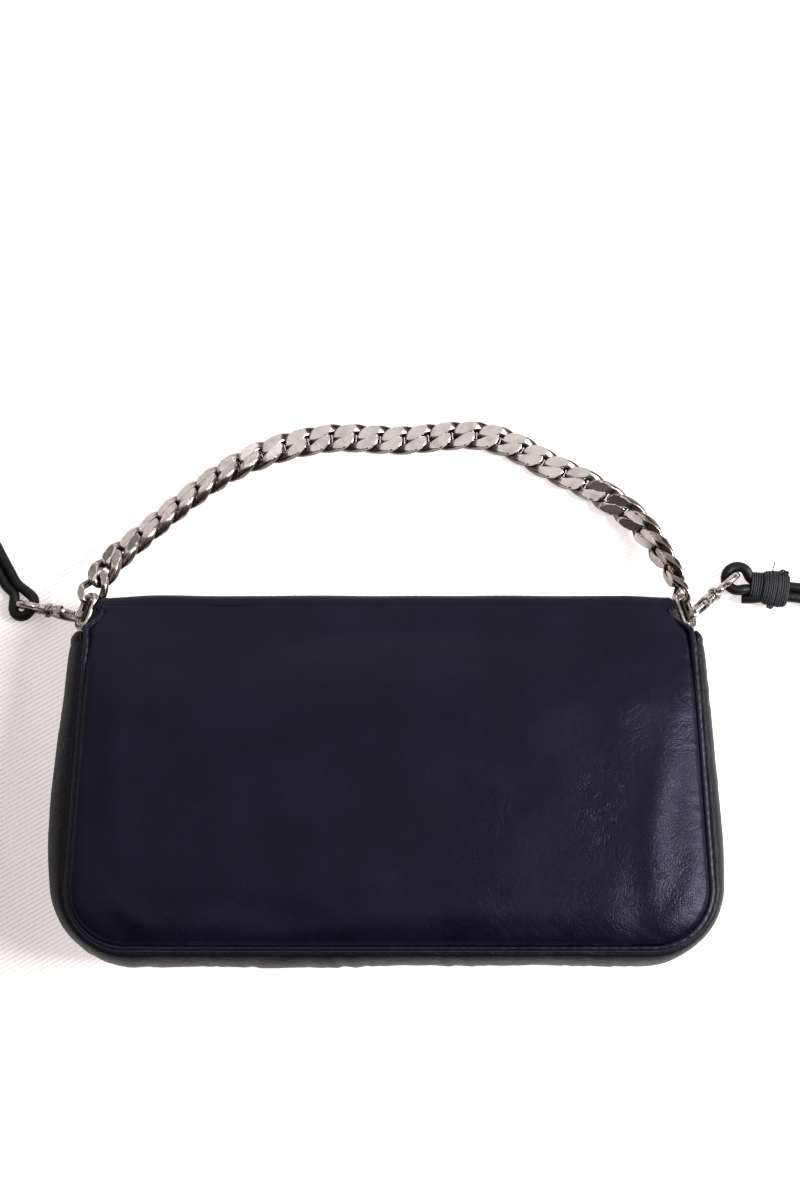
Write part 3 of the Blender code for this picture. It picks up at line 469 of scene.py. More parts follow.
# Twill: a diagonal wave over threads
def clothLook(name, colour, light, spacing, rough=0.85, bump=0.5):
    made, tree, shader = newTree(name)
    place = objectPlace(tree)
    wave = addNode(tree, "TexWave", bands_direction="DIAGONAL", Vector=place, Scale=1.0 / (spacing * 6.3),
                   Distortion=1.2, Detail=2.0, Detail_Scale=3.0).outputs["Fac"]
    fuzz = noise(tree, place, 2400.0, 2.0)
    setNode(tree, shader, Base_Color=mixColour(tree, wave, colour, light), Roughness=rough,
            Normal=relief(tree, plus(tree, wave, fuzz), bump, 0.0002))
    return made


navyDark = (0.0018, 0.0012, 0.0062)
navyLight = (0.0042, 0.0032, 0.0105)
navySheen = (0.72, 0.69, 1.0)
panelLook = leatherLook("panelNappa", navyDark, navyLight, 0.34, crease=0.8, specular=0.195, wear=2.4,
                        sheen=navySheen)
gussetLook = leatherLook("gussetNappa", (0.0020, 0.0018, 0.0048), (0.0046, 0.0042, 0.0092), 0.36, crease=1.6,
                         bump=0.32, specular=0.15)
weltLook = leatherLook("weltNappa", navyDark, navyLight, 0.30, crease=0.3, size=1.2, specular=0.34,
                       sheen=navySheen)
tabLook = leatherLook("tabNappa", (0.0040, 0.0038, 0.0050), (0.0120, 0.0115, 0.0130), 0.36, crease=0.5,
                      specular=0.18)
cordLook = leatherLook("cordLeather", (0.0022, 0.0026, 0.0026), (0.0080, 0.0090, 0.0088), 0.40, grain=0.8,
                       crease=1.2, size=1.3, specular=0.2)
rawLook = leatherLook("rawEdge", (0.020, 0.009, 0.008), (0.060, 0.030, 0.025), 0.7, crease=1.5, size=1.6,
                      bump=0.5)
liningLook = clothLook("liningTwill", (0.010, 0.010, 0.012), (0.022, 0.022, 0.026), 0.0006)
threadLook = clothLook("navyThread", (0.003, 0.003, 0.006), (0.014, 0.014, 0.024), 0.0003, rough=0.6)
boardLook = clothLook("fibreBoard", (0.09, 0.08, 0.07), (0.13, 0.12, 0.10), 0.0011, bump=0.15)
nickelLook = metalLook("satinNickel", (0.62, 0.57, 0.545), (0.24, 0.205, 0.185), 0.22)
# The chain's last colour is a painted shade on the rounded wire between the ground flats
chainLook = metalLook("chainNickel", (0.66, 0.61, 0.585), (0.50, 0.45, 0.425), 0.22,
                      paintedShade=(0.20, 0.165, 0.145))
print("stage: materials")


# The strap: its middle line on the ground, from the left loop round to the knot

strapSettings = {
    "route": [
        (-0.1397, 0.0724), (-0.1443, 0.0805), (-0.1492, 0.0890), (-0.1559, 0.0962),
        (-0.1647, 0.0982), (-0.1717, 0.0925), (-0.1740, 0.0830), (-0.1710, 0.0600),
        (-0.1675, 0.0200), (-0.1650, -0.0300), (-0.1640, -0.0800), (-0.1620, -0.1200),
        (-0.1560, -0.1425), (-0.1415, -0.1562), (-0.1195, -0.1612), (-0.0695, -0.1620),
        (-0.0095, -0.1608), (0.0495, -0.1617), (0.1095, -0.1622), (0.1395, -0.1592),
        (0.1585, -0.1483), (0.1685, -0.1290), (0.1710, -0.1000), (0.1715, -0.0500),
        (0.1730, 0.0000), (0.1733, 0.0270), (0.1717, 0.0440), (0.1663, 0.0580),
    ],
    "diameter": 0.0038, "space": 0.0038, "intoKnot": 0.0010, "groundZ": 0.00192, "holeZ": 0.0057,
    "knotStart": 0.1388, "knotY": 0.0704, "knotLong": 0.0102, "knotHeading": math.radians(-11.0),
    "knotHalfWide": 0.0068, "knotHalfHigh": 0.0042, "knotCordZ": 0.0034,
    "rightR": 0.0045, "rightTurn": math.radians(16.0), "rightMouth": 0.95,
    "leftR": 0.0038, "leftDrop": 0.0005, "leftPastTip": 0.0010,
}

# The rings and clasps, whose eyes the strap's loops go through

ringSettings = {
    "wire": 0.0011, "long": 0.0122, "deep": 0.0086, "corner": 0.0019, "bow": 0.0042,
    "barX": 0.1062, "barY": 0.0583, "barZ": 0.0190, "yaw": math.radians(18.0), "tilt": math.radians(55.0),
    "hookShare": 0.57, "tabWide": 0.0076, "tabWall": 0.0009, "tabReach": 0.0130, "tabTail": 0.0030,
    "tabLip": math.radians(25.0),
}

claspSettings = {
    "hookLong": 0.0164, "hookHalfHigh": 0.0056, "innerStart": 0.0021, "innerEnd": 0.0130,
    "innerHalf": 0.0036, "noseThick": 0.0031, "baseThick": 0.0046, "gateNear": 0.0046, "gateFar": 0.0108,
    "pivotS": 0.0130, "pivotW": 0.0036, "shankR": 0.0014, "bossStart": 0.0177, "bossThick": 0.0016,
    "bossR": 0.0027,
    "eyeS": 0.0256, "eyeR": 0.0046, "eyeWire": 0.0013, "eyeHeight": 0.0057, "crossS": 0.0054,
    "slideRight": -0.0014, "slideLeft": -0.0020,
    "headingRight": math.radians(41.0), "headingLeft": math.radians(167.0),
}


# A heading on the ground that also dips by an angle
def wayOf(heading, dip):
    return Vector((math.cos(heading) * math.cos(dip), math.sin(heading) * math.cos(dip), -math.sin(dip)))


# Each D-ring's place: X out from the bag and down, Y along its bar
def ringFrame(side):
    s = ringSettings
    heading = s["yaw"] if side > 0 else math.pi - s["yaw"]
    bar = Vector((-math.sin(heading) * side, math.cos(heading) * side, 0))
    return placeAt((side * s["barX"], s["barY"], s["barZ"]), wayOf(heading, s["tilt"]), bar)


# Each clasp's place: from where it hangs on the ring, down to the height of its eye
def claspFrame(side):
    c, r = claspSettings, ringSettings
    heading = c["headingRight"] if side > 0 else c["headingLeft"]
    slide = c["slideRight"] if side > 0 else c["slideLeft"]
    past = max(abs(slide) - (r["long"] / 2 - r["bow"]), 0)
    reach = r["deep"] - r["bow"] + math.sqrt(r["bow"]**2 - past**2)
    crossing = ringFrame(side) @ Vector((reach, slide, 0))
    ahead = wayOf(heading, math.atan2(crossing.z - c["eyeHeight"], c["eyeS"] - c["crossS"]))
    return placeAt(crossing - ahead * c["crossS"], ahead, Vector((0, 0, 1)).cross(ahead).normalized())


# A clasp's eye seen from above
def eyePlan(side):
    eye = claspFrame(side) @ Vector((claspSettings["eyeS"], 0, 0))
    return np.array([eye.x, eye.y])


# A heading on the ground, seen from above
def flatWay(heading):
    return np.array([math.cos(heading), math.sin(heading)])


knotWay = flatWay(strapSettings["knotHeading"])
knotSide = np.array([-knotWay[1], knotWay[0]])


# Points of a plan, each at its level
def raised(plan, level):
    return [(*map(float, p), z) for p, z in zip(plan, level)]


# A round cord along a line, as a curve
def makeCord(name, line, diameter, nodes):
    curve = bpy.data.curves.new(name, "CURVE")
    curve.dimensions = "3D"
    curve.bevel_depth = diameter / 2
    curve.bevel_resolution = 7
    curve.use_fill_caps = True
    spline = curve.splines.new("POLY")
    spline.points.add(len(line) - 1)
    spline.points.foreach_set("co", np.column_stack([line, np.ones(len(line))]).ravel())
    spline.use_smooth = True
    curve.materials.append(cordLook)
    made = bpy.data.objects.new(name, curve)
    bpy.context.collection.objects.link(made)
    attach(made, "bag")
    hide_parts(*nodes)
    return made


# From the strap's first cord through the left eye, round its tip and back to the second cord
def leftLoopLine(s):
    d, half, ground, hole = s["diameter"], s["space"] / 2, s["groundZ"], s["holeZ"]
    start, second = np.array(s["route"][:2])
    way = unit(second - start)
    across = np.array([way[1], -way[0]])
    tipWay = flatWay(claspSettings["headingLeft"])
    through = np.array([tipWay[1], -tipWay[0]])
    bend, drop = s["leftR"], s["leftDrop"] * through
    pastTip = claspSettings["eyeR"] + s["leftPastTip"] + d / 2 + gap
    middle = eyePlan(-1) + (pastTip - bend) * tipWay - drop
    arc = np.linspace(0.0, math.pi, 7)
    roundTip = [middle - bend * math.cos(a) * tipWay - bend * math.sin(a) * through for a in arc]
    near, far = roundTip[0] + drop, roundTip[-1] + drop
    plan = [start + half * across, start + half * across - d / 2 * way, near + through * d * 0.9]
    plan += roundTip + [far + through * d * 0.9 + way * d * 0.3]
    plan += [start - half * across - d / 2 * way, start - half * across]
    level = [ground, ground, (ground + 2 * hole) / 3]
    level += [hole + (ground - hole) * t for t in np.linspace(0.0, 1.0, len(arc))]
    level += [ground] * 3
    return softened(spacedLine(smoothLine(raised(plan, level), 12), 200), 10)[::3]


# From the knot through the right eye and back into the knot
def rightLoopLine(s):
    r, half = s["rightR"], s["space"] / 2
    middle = eyePlan(1) + r * flatWay(claspSettings["headingRight"] - s["rightTurn"])
    mouth = np.array([s["knotStart"], s["knotY"]]) + s["intoKnot"] * knotWay
    lead = mouth - 1.3 * s["diameter"] * knotWay
    mouthTurn = s["rightMouth"]
    turn = np.linspace(s["knotHeading"] + mouthTurn, s["knotHeading"] + 2 * math.pi - mouthTurn, 11)
    ring = [middle + r * flatWay(a) for a in turn]
    plan = [mouth + half * knotSide, lead + half * knotSide] + ring
    plan += [lead - half * knotSide, mouth - half * knotSide]
    level = [s["knotHalfHigh"]] * 2 + [s["holeZ"]] * len(ring) + [s["knotHalfHigh"]] * 2
    return softened(spacedLine(smoothLine(raised(plan, level), 12), 160), 9)


# Two cords side by side, risen into the knot at their far end, and the left loop between them
def strapCordLine(s):
    d, half, ground = s["diameter"], s["space"] / 2, s["groundZ"]
    route = np.array(s["route"])
    tail = np.array([s["knotStart"], s["knotY"]]) + knotWay * (s["knotLong"] - s["intoKnot"])
    outer = tail + 2.5 * d * knotWay
    fine = spacedLine(smoothLine(np.vstack([route, [outer], [tail]]), 30), 700)
    along = unit(np.gradient(fine, axis=0))
    fromTail = np.linalg.norm(fine - tail, axis=1)
    free = smoothStep(fromTail, d, 3 * d)[:, None]
    along = unit(along * free - knotWay * (1 - free))
    side = np.stack([along[:, 1], -along[:, 0]], axis=-1)
    rise = (s["knotCordZ"] - ground) * fadeOut(np.maximum(fromTail - 0.8 * d, 0.0), 2.2 * d)
    strandA = np.column_stack([fine + half * side, ground + rise])
    strandB = np.column_stack([fine - half * side, ground + rise])
    pastLoop = np.linalg.norm(strandA[:, :2] - route[0], axis=1) > 0.0028
    whole = np.vstack([strandA[pastLoop][::-1], leftLoopLine(s)[2:-2], strandB[pastLoop]])
    return softened(spacedLine(whole, 1500), 3)


strapLine = strapCordLine(strapSettings)
rightLine = rightLoopLine(strapSettings)
rightLoop = makeCord("rightLoop", rightLine, strapSettings["diameter"], ["strap_right_loop"])
strap = makeCord("strapCord", strapLine, strapSettings["diameter"],
                 ["strap_left_loop", "strap_strand_a", "strap_strand_b"])


# The knot: thread wound round both cords, a stray end, tied ends and a raw cut edge.
# Places are given along the knot, across it and up

knotSettings = {
    "turns": 12, "neckTurns": 5, "thread": 0.00088, "steps": 44, "coreSides": 28,
    "neckStart": -0.0040, "neckLong": 0.0042, "neckWide": 0.0044, "neckGrow": 0.0006, "neckHigh": 0.0027,
    "stray": [(0.0030, 0.0058, 0.0060), (0.0029, 0.0070, 0.0066), (0.0031, 0.0082, 0.0070),
              (0.0028, 0.0094, 0.0072)],
    "strayR": 0.00022,
    "ties": [((0.0066, 0.0066, 0.0056), 0.0011), ((0.0080, 0.0063, 0.0058), 0.0010),
             ((0.0044, -0.0069, 0.0040), 0.0012)],
    "stub": [(0.0012, -0.0040, 0.0040), (-0.0022, -0.0050, 0.0034), (-0.0058, -0.0056, 0.0026)],
    "stubR": 0.0018, "rawR": 0.00172,
}


# Thread as tubes along helixes, on a core, with loose ends beside it
def makeKnot(s, k):
    start = np.array([s["knotStart"], s["knotY"]])
    midZ = s["knotHalfHigh"] + 0.0001
    r = k["thread"] / 2

    def at(places):
        reach, across, high = np.reshape(places, (-1, 3)).T
        return np.column_stack([start + np.outer(reach, knotWay) + np.outer(across, knotSide), high])

    # An oval helix whose turns swell and wander a little
    phase = np.linspace(0.0, 2 * np.pi * k["turns"], k["turns"] * k["steps"])
    share = phase / phase[-1]
    swell = (0.80 + 0.20 * np.sin(np.pi * share)**0.5) * (1 + 0.025 * ripple(share, 3, 4, 0.05, 0.3))
    reach = r + (s["knotLong"] - 2 * r) * share + 0.00012 * ripple(share, 8, 3, 0.08, 0.2)
    reach = reach + 0.0003 * np.sin(phase)
    line = at(pointsOf(reach, (s["knotHalfWide"] - r) * swell * np.cos(phase),
                       midZ + (s["knotHalfHigh"] - r) * swell * np.sin(phase)))
    parts = [tubeShape(line, r * (1 + 0.06 * ripple(share, 4, 3, 0.01, 0.04)), 8)]

    # A thinner wound neck where the loop's ends come together
    phase = np.linspace(0.0, 2 * np.pi * k["neckTurns"], k["neckTurns"] * k["steps"])
    share = phase / phase[-1]
    reach = k["neckStart"] + k["neckLong"] * share + 0.00012 * ripple(share, 9, 3, 0.08, 0.3)
    wide = k["neckWide"] + k["neckGrow"] * share + 0.0001 * ripple(share, 12, 4, 0.05, 0.3)
    line = at(pointsOf(reach, wide * np.cos(phase), s["knotHalfHigh"] + k["neckHigh"] * np.sin(phase)))
    parts.append(tubeShape(line, r * 0.9, 8))

    # Core under the thread: ovals along the knot
    share = np.linspace(0.03, 0.97, 9)[:, None]
    turn = 2 * np.pi * np.arange(k["coreSides"]) / k["coreSides"]
    grow = 0.78 + 0.18 * np.sin(np.pi * share)**0.5
    across = (s["knotHalfWide"] - r * 1.6) * grow * np.cos(turn)
    high = midZ + (s["knotHalfHigh"] - r * 1.6) * grow * np.sin(turn)
    core = at(pointsOf(s["knotLong"] * share, across, high))
    parts.append((core, tubeFaces(len(share), k["coreSides"])))

    # Stray end that stands up from the windings, and tied ends as small looped lumps
    parts.append(tubeShape(smoothLine(at(k["stray"]), 8), k["strayR"], 6))
    turn = np.linspace(0.0, 4 * np.pi, 60)
    loops = np.column_stack([0.8 * np.sin(turn), 0.55 * np.cos(turn) * np.sign(np.sin(turn / 2) + 0.2),
                             0.7 * np.cos(1.5 * turn)])
    for place, size in k["ties"]:
        parts.append(tubeShape(at(place) + size * loops, r * 0.62, 6))
    made = makePiece("knotThread", *joinShapes(parts), threadLook, "bag", "navy_thread", ["right_knot"])

    # The cord's cut end lies beside the windings, its raw edge showing
    stub = smoothLine(at(k["stub"]), 8)
    makePiece("cordEnd", *tubeShape(stub, k["stubR"], 20), cordLook, "bag", "black_cord_hide")
    way = unit(stub[-1] - stub[-2])
    tip = spacedLine(np.array([stub[-1] - 0.0002 * way, stub[-1] + 0.0004 * way]), 5)
    rag = 1 + 0.06 * ripple2(np.arange(20)[None, :], 0.6 * np.arange(5)[:, None], 6, 5, 1.5, 4.0)
    rings, faces = tubeShape(tip, k["rawR"], 20)
    rings = tip[:, None, :] + (rings - tip[:, None, :]) * rag[:, :, None]
    makePiece("rawEnd", rings, faces, rawLook, "bag", "black_cord_hide")
    return made


knot = makeKnot(strapSettings, knotSettings)


# Outline and heights of the bag's body

bodySettings = {
    "leather": 0.0014, "seamLow": 0.1095, "seamTop": 0.1072, "baseY": -0.0597, "shoulderY": 0.0496,
    "corner": 0.0208, "frontZ": 0.0034, "backLow": 0.0385, "backTop": 0.0275, "crown": 0.0026,
    "lean": 0.0016, "leanFade": (0.044, 0.060), "weltR": 0.0013, "frontWeltR": 0.0016, "stitch": 0.0034,
    "foldY": 0.0647, "foldHalf": 0.1009, "foldR": 0.0048, "foldLowR": 0.0040, "foldEar": 0.0028,
    "foldTopZ": 0.0222,
    "neckY": 0.0572, "neckEase": 0.0012, "flapHalf": 0.1000, "flapTip": -0.0420, "flapCorner": 0.0160,
    "flapThick": 0.0013, "snapY": -0.0270, "snapHole": 0.0083, "frontTop": 0.0440,
}
b = bodySettings
bendY = b["baseY"] + b["corner"]
foldStart = b["foldY"] - b["foldR"]
seamRise = b["foldTopZ"] - b["backTop"]  # from the seam's top to the fold's, below nought as it falls


# The seam's height runs straight from the base to the shoulder
def seamHeight(y):
    t = np.clip((y - b["baseY"]) / (b["shoulderY"] - b["baseY"]), 0.0, 1.0)
    return b["backLow"] + (b["backTop"] - b["backLow"]) * t


# Half the width inside the seam: straight sides that lean in upwards, round corners at the base
def seamHalf(y, inset=0.0):
    t = np.clip((y - bendY) / (b["shoulderY"] - bendY), 0.0, 1.0)
    half = b["seamLow"] + (b["seamTop"] - b["seamLow"]) * t - inset
    radius = b["corner"] - inset
    drop = np.clip(bendY - y, 0.0, radius)
    return half - radius + np.sqrt(np.maximum(radius**2 - drop**2, 0.0))


# The seam's half width, drawn in to the fold's over the neck
def neckHalf(y):
    toFold = b["foldHalf"] + b["neckEase"] - b["seamTop"]
    return seamHalf(y) + toFold * smoothStep(y, b["shoulderY"], b["neckY"])


# How far the back leans to the right, less towards the fold
def leanAt(y):
    return b["lean"] * (1 - smoothStep(y, *b["leanFade"]))


# Half the flap's width, its two corners round, drawn in by an inset
def flapHalfAt(y, inset=0.0):
    corner = b["flapCorner"] - inset
    drop = np.clip(b["flapTip"] + b["flapCorner"] - y, 0.0, corner)
    return b["flapHalf"] - b["flapCorner"] + np.sqrt(np.maximum(corner**2 - drop**2, 0.0))


# The seam from the left shoulder round the base to the right, evenly spaced, with its
# outward directions and its length so far
def seamPath(count):
    bendX = float(seamHalf(bendY)) - b["corner"]
    turn = np.linspace(math.pi, 1.5 * math.pi, 40)
    left = [(-float(seamHalf(b["shoulderY"])), b["shoulderY"])]
    left += [(-bendX + b["corner"] * math.cos(a), bendY + b["corner"] * math.sin(a)) for a in turn]
    path = spacedLine(np.array(left + [(-x, y) for x, y in reversed(left)]), count)
    along = unit(np.gradient(path, axis=0))
    return path, np.stack([along[:, 1], -along[:, 0]], axis=-1), arcLength(path)


# Soft folds of the back: centre x and y, heading, half length, half width, height
backFolds = [
    (0.0900, -0.0200, 84, 0.0330, 0.0052, 0.0009),
    (0.0985, -0.0430, 62, 0.0140, 0.0034, 0.0004),
    (0.0880, -0.0470, 38, 0.0180, 0.0040, -0.0004),
    (0.0780, -0.0330, 70, 0.0220, 0.0060, 0.0005),
    (0.0700, 0.0150, 80, 0.0260, 0.0080, -0.0003),
    (0.0860, 0.0280, 60, 0.0180, 0.0050, 0.0002),
    (-0.0950, 0.0050, 92, 0.0450, 0.0050, 0.0005),
    (-0.0880, -0.0480, 140, 0.0140, 0.0040, 0.0005),
    (0.0200, -0.0480, 4, 0.0500, 0.0050, 0.0005),
    (-0.0500, -0.0460, -5, 0.0300, 0.0050, -0.0004),
    (0.0000, 0.0480, 1, 0.0800, 0.0045, -0.0005),
]


# Each fold is a bell along and across its heading, bowed a little sideways
def foldHeight(x, y):
    total = 0.0
    for cx, cy, heading, halfLong, halfWide, high in backFolds:
        a = math.radians(heading)
        u = (x - cx) * math.cos(a) + (y - cy) * math.sin(a)
        v = -(x - cx) * math.sin(a) + (y - cy) * math.cos(a)
        v = v + 0.12 * halfLong * (u / halfLong)**2
        total = total + high * np.exp(-(u / halfLong)**2 - (v / halfWide)**2)
    return total


# Distance in from the sewn edge, corners rounded
def seamDistance(x, y, inset):
    side = seamHalf(np.maximum(y, bendY), inset) - np.abs(x)
    low = y - (b["baseY"] + inset)
    radius = b["corner"] - inset
    cx = seamHalf(np.full_like(y, bendY), inset) - radius
    fromArc = radius - np.hypot(np.abs(x) - cx, bendY - y)
    inCorner = (np.abs(x) > cx) & (y < bendY)
    return np.where(inCorner, fromArc, np.minimum(side, low))


skinSettings = {
    "cols": 230, "rowsBack": 150, "rowsFold": 13, "rowsFlap": 46, "inset": 0.0010, "fallStart": 0.020,
    "edgeRoll": 0.0009, "edgeRollWide": 0.0010, "freeRoll": 0.0007, "freeRollWide": 0.0022,
    "puff": 0.0018, "puffWide": 0.0080, "rightPuff": 0.0023, "rightPuffWide": 0.0110,
    "lip": 0.0005, "lipWide": 0.0030, "puffsFade": (0.020, 0.058), "pucker": 0.00016,
    "puckerWide": 0.0045, "unrest": 0.00010, "sag": 0.0010, "sagFade": (0.085, 0.1003),
    "foldWave": 0.00035,
}


# The back as heights over x and y: the seam's height falling to the fold, a crown, puffs along the
# base and the right side, an edge that rolls into the seam, folds, and puckers at the stitches
def backGrid(s, cols):
    inset = s["inset"]
    t = np.linspace(0.0, 1.0, s["rowsBack"])[:, None]
    y = b["baseY"] + inset + (foldStart - b["baseY"] - inset) * (t - 0.06 * np.sin(2 * np.pi * t))
    half = seamHalf(y, inset)
    half = half + (neckHalf(y) - half) * smoothStep(y, b["shoulderY"], b["neckY"])
    earHalf = b["foldHalf"] + b["foldEar"]
    half = half + (earHalf - neckHalf(y)) * smoothStep(y, b["neckY"], foldStart)
    x = half * cols

    def upTo(start):
        return np.clip((y - start) / (foldStart - start), 0.0, 1.0)
    nearEdge = np.abs(cols)**6
    fall = upTo(s["fallStart"])**1.7 * (1 - nearEdge) + upTo(b["shoulderY"]) * nearEdge
    up = upTo(b["baseY"])
    z = seamHeight(y) + seamRise * fall
    z = z + b["crown"] * (4 * up * (1 - up))**0.6 * (1 - np.abs(cols)**2.5)

    inside = seamDistance(x, y, inset)
    fromSeam = np.maximum(inside, 0)
    sewn = 1 - smoothStep(y, b["shoulderY"] - 0.002, b["shoulderY"] + 0.004)
    fromFree = half - np.abs(x)
    fromRight = np.maximum(seamHalf(np.maximum(y, bendY), inset) - x, 0)
    fromLow = np.maximum(y - b["baseY"] - inset, 0)
    fading = 1 - smoothStep(y, *s["puffsFade"])
    z = z + s["puff"] * (1 - fadeOut(fromLow, s["puffWide"], 1.5)) * fading
    z = z + s["rightPuff"] * (1 - fadeOut(fromRight, s["rightPuffWide"], 1.3)) * fading
    z = z + s["lip"] * (1 - fadeOut(fromSeam, s["lipWide"])) * fading
    z = z - s["edgeRoll"] * fadeOut(fromSeam, s["edgeRollWide"]) * sewn
    z = z - s["freeRoll"] * fadeOut(fromFree, s["freeRollWide"]) * (1 - sewn)
    beforeFold = 1 - smoothStep(y, foldStart - 0.010, foldStart)
    z = z + foldHeight(x, y) * smoothStep(inside, 0.0, 0.008) * beforeFold
    around = np.arctan2(y + 0.01, x) * 0.09 + (x + y) * 0.35
    pulled = fadeOut(np.maximum(inside - 0.001, 0), s["puckerWide"], 1) * sewn
    z = z + s["pucker"] * ripple(around, 21, 7, 0.0035, 0.0085) * pulled
    z = z + s["unrest"] * ripple2(x, y, 31, 9, 0.018, 0.05) * smoothStep(inside, 0.0, 0.01)
    return pointsOf(x + leanAt(y), y, z)


# Fold and flap as a profile carried across the bag: over the top, down, round onto the ground
# and along it to the flap's tip
def foldGrid(s, cols):
    lowR = b["foldLowR"]
    turn = np.linspace(0.0, np.pi / 2, s["rowsFold"] + 1)[1:]
    over = np.column_stack([foldStart + b["foldR"] * np.sin(turn),
                            b["foldTopZ"] - b["foldR"] * (1 - np.cos(turn))])
    down = np.column_stack([np.full(5, b["foldY"]), np.linspace(over[-1, 1], lowR, 6)[1:]])
    under = np.column_stack([b["foldY"] - lowR * (1 - np.cos(turn)), lowR * (1 - np.sin(turn))])
    flapY = np.linspace(b["foldY"] - lowR, b["flapTip"], s["rowsFlap"])[1:]
    profile = np.vstack([over, down, under, np.column_stack([flapY, np.zeros(len(flapY))])])
    ear = b["foldEar"] * np.cos(turn)**0.5
    straight = np.full(len(down) + len(under), b["foldHalf"])
    half = np.concatenate([b["foldHalf"] + ear, straight, flapHalfAt(flapY)])
    x, y, z = half[:, None] * cols, profile[:, :1], profile[:, 1:]
    atTop = fadeOut(np.linspace(0.0, len(profile), len(profile))[:, None], 16)
    y = y - s["sag"] * smoothStep(np.abs(x), *s["sagFade"]) * atTop
    y = y - s["foldWave"] * (1 + ripple(x, 17, 5, 0.02, 0.07)) * atTop
    onTop = np.arange(len(profile))[:, None] < len(over)
    z = z - s["freeRoll"] * fadeOut(b["foldHalf"] - np.abs(x), s["freeRollWide"]) * onTop
    return pointsOf(x, y, z)


# Back, fold and flap are one hide: rows run from the base seam over the fold to the flap's tip,
# columns crowd towards both sides
def makeBodySkin(s):
    cols = np.linspace(-1.0, 1.0, s["cols"])
    cols = 0.35 * cols + 0.65 * np.sin(cols * np.pi / 2)
    grid = np.concatenate([backGrid(s, cols), foldGrid(s, cols)])
    return makeSheet("bodySkin", grid, panelLook, None, "navy_nappa", ["back_panel", "top_fold", "flap"],
                     (0, 0, 1), b["flapThick"])


bodySkin = makeBodySkin(skinSettings)
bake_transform(bodySkin)
print("stage: back, fold and flap")


# Gusset, with its hems at the mouth; left and right say how far it stands out from the seam, by y

gussetSettings = {
    "along": 620, "across": 30, "evenOver": 33, "baseWave": 0.0006, "wrinkle": 0.00020,
    "hem": 0.0034, "hemHigh": 0.00055, "groove": 0.0004,
    "left": [(-0.0597, 0.0058), (-0.0590, 0.0049), (-0.0560, 0.0047), (-0.0507, 0.0053), (-0.0395, 0.0068),
             (-0.0265, 0.0088), (-0.0090, 0.0090), (0.0087, 0.0083), (0.0265, 0.0069), (0.0496, 0.0062)],
    "right": [(-0.0597, 0.0053), (-0.0590, 0.0047), (-0.0560, 0.0046), (-0.0507, 0.0050), (-0.0395, 0.0058),
              (-0.0265, 0.0069), (-0.0056, 0.0064), (0.0265, 0.0055), (0.0496, 0.0048)],
}


# A strip swept round the seam: it bows out between front and back, with wrinkles and creases
# that run across it and are deeper on the base
def makeGusset(s):
    path, outward, reach = seamPath(s["along"])
    onLeft, y = path[:, 0] < 0, path[:, 1]
    t = np.linspace(0.0, 1.0, s["across"])
    high = seamHeight(y) - b["weltR"] * 0.6
    low = b["frontZ"] + 0.0001
    fromEnd = np.minimum(reach, reach[-1] - reach)
    stand = np.where(onLeft, np.interp(y, *zip(*s["left"])), np.interp(y, *zip(*s["right"])))
    weights = np.hanning(s["evenOver"])
    stand = np.convolve(np.pad(stand, s["evenOver"] // 2, mode="edge"), weights / weights.sum(), "valid")
    bulge = (stand - b["leather"] / 2) * (1 - 0.45 * fadeOut(fromEnd, 0.0022, 1))
    onBase = smoothStep(-y, 0.050, 0.058)
    bulge = bulge + s["baseWave"] * ripple(path[:, 0], 41, 3, 0.05, 0.11) * onBase
    bow = (1 - np.abs(2 * t - 1)**2.2)**0.62
    warp = reach[:, None] + 0.004 * np.sin(3.1 * t[None, :] + 63 * reach[:, None] / reach[-1])
    wave = ripple(warp, 43, 9, 0.006, 0.017)
    crease = -np.abs(ripple(warp * 1.3, 47, 5, 0.007, 0.016))**0.5
    amount = s["wrinkle"] * (1 + 1.4 * onBase)[:, None] * (0.45 + 0.55 * np.sin(np.pi * t)[None, :])
    hem = fadeOut(fromEnd - s["hem"] / 2, s["hem"] * 0.42, 4)
    groove = fadeOut(fromEnd - s["hem"], 0.0006)
    offset = bulge[:, None] * bow[None, :] + b["leather"] / 2 + amount * (wave + 0.35 * crease)
    offset = offset + (s["hemHigh"] * hem - s["groove"] * groove)[:, None]
    plan = path[:, None, :] + outward[:, None, :] * offset[:, :, None]
    leaning = leanAt(y)[:, None] * t
    grid = pointsOf(plan[..., 0] + leaning, plan[..., 1], low + (high[:, None] - low) * t)
    makeSheet("gussetSkin", grid, gussetLook, "bag", "navy_nappa", ["gusset"], (-1, 0, 0),
              b["leather"] * 0.85)


makeGusset(gussetSettings)


weltSettings = {"along": 560, "sides": 16, "neckSteps": 14, "pastNeck": 0.0015, "neckIn": 0.0006,
                "neckUp": 0.0006, "neckThin": 0.55, "wander": 0.00012}


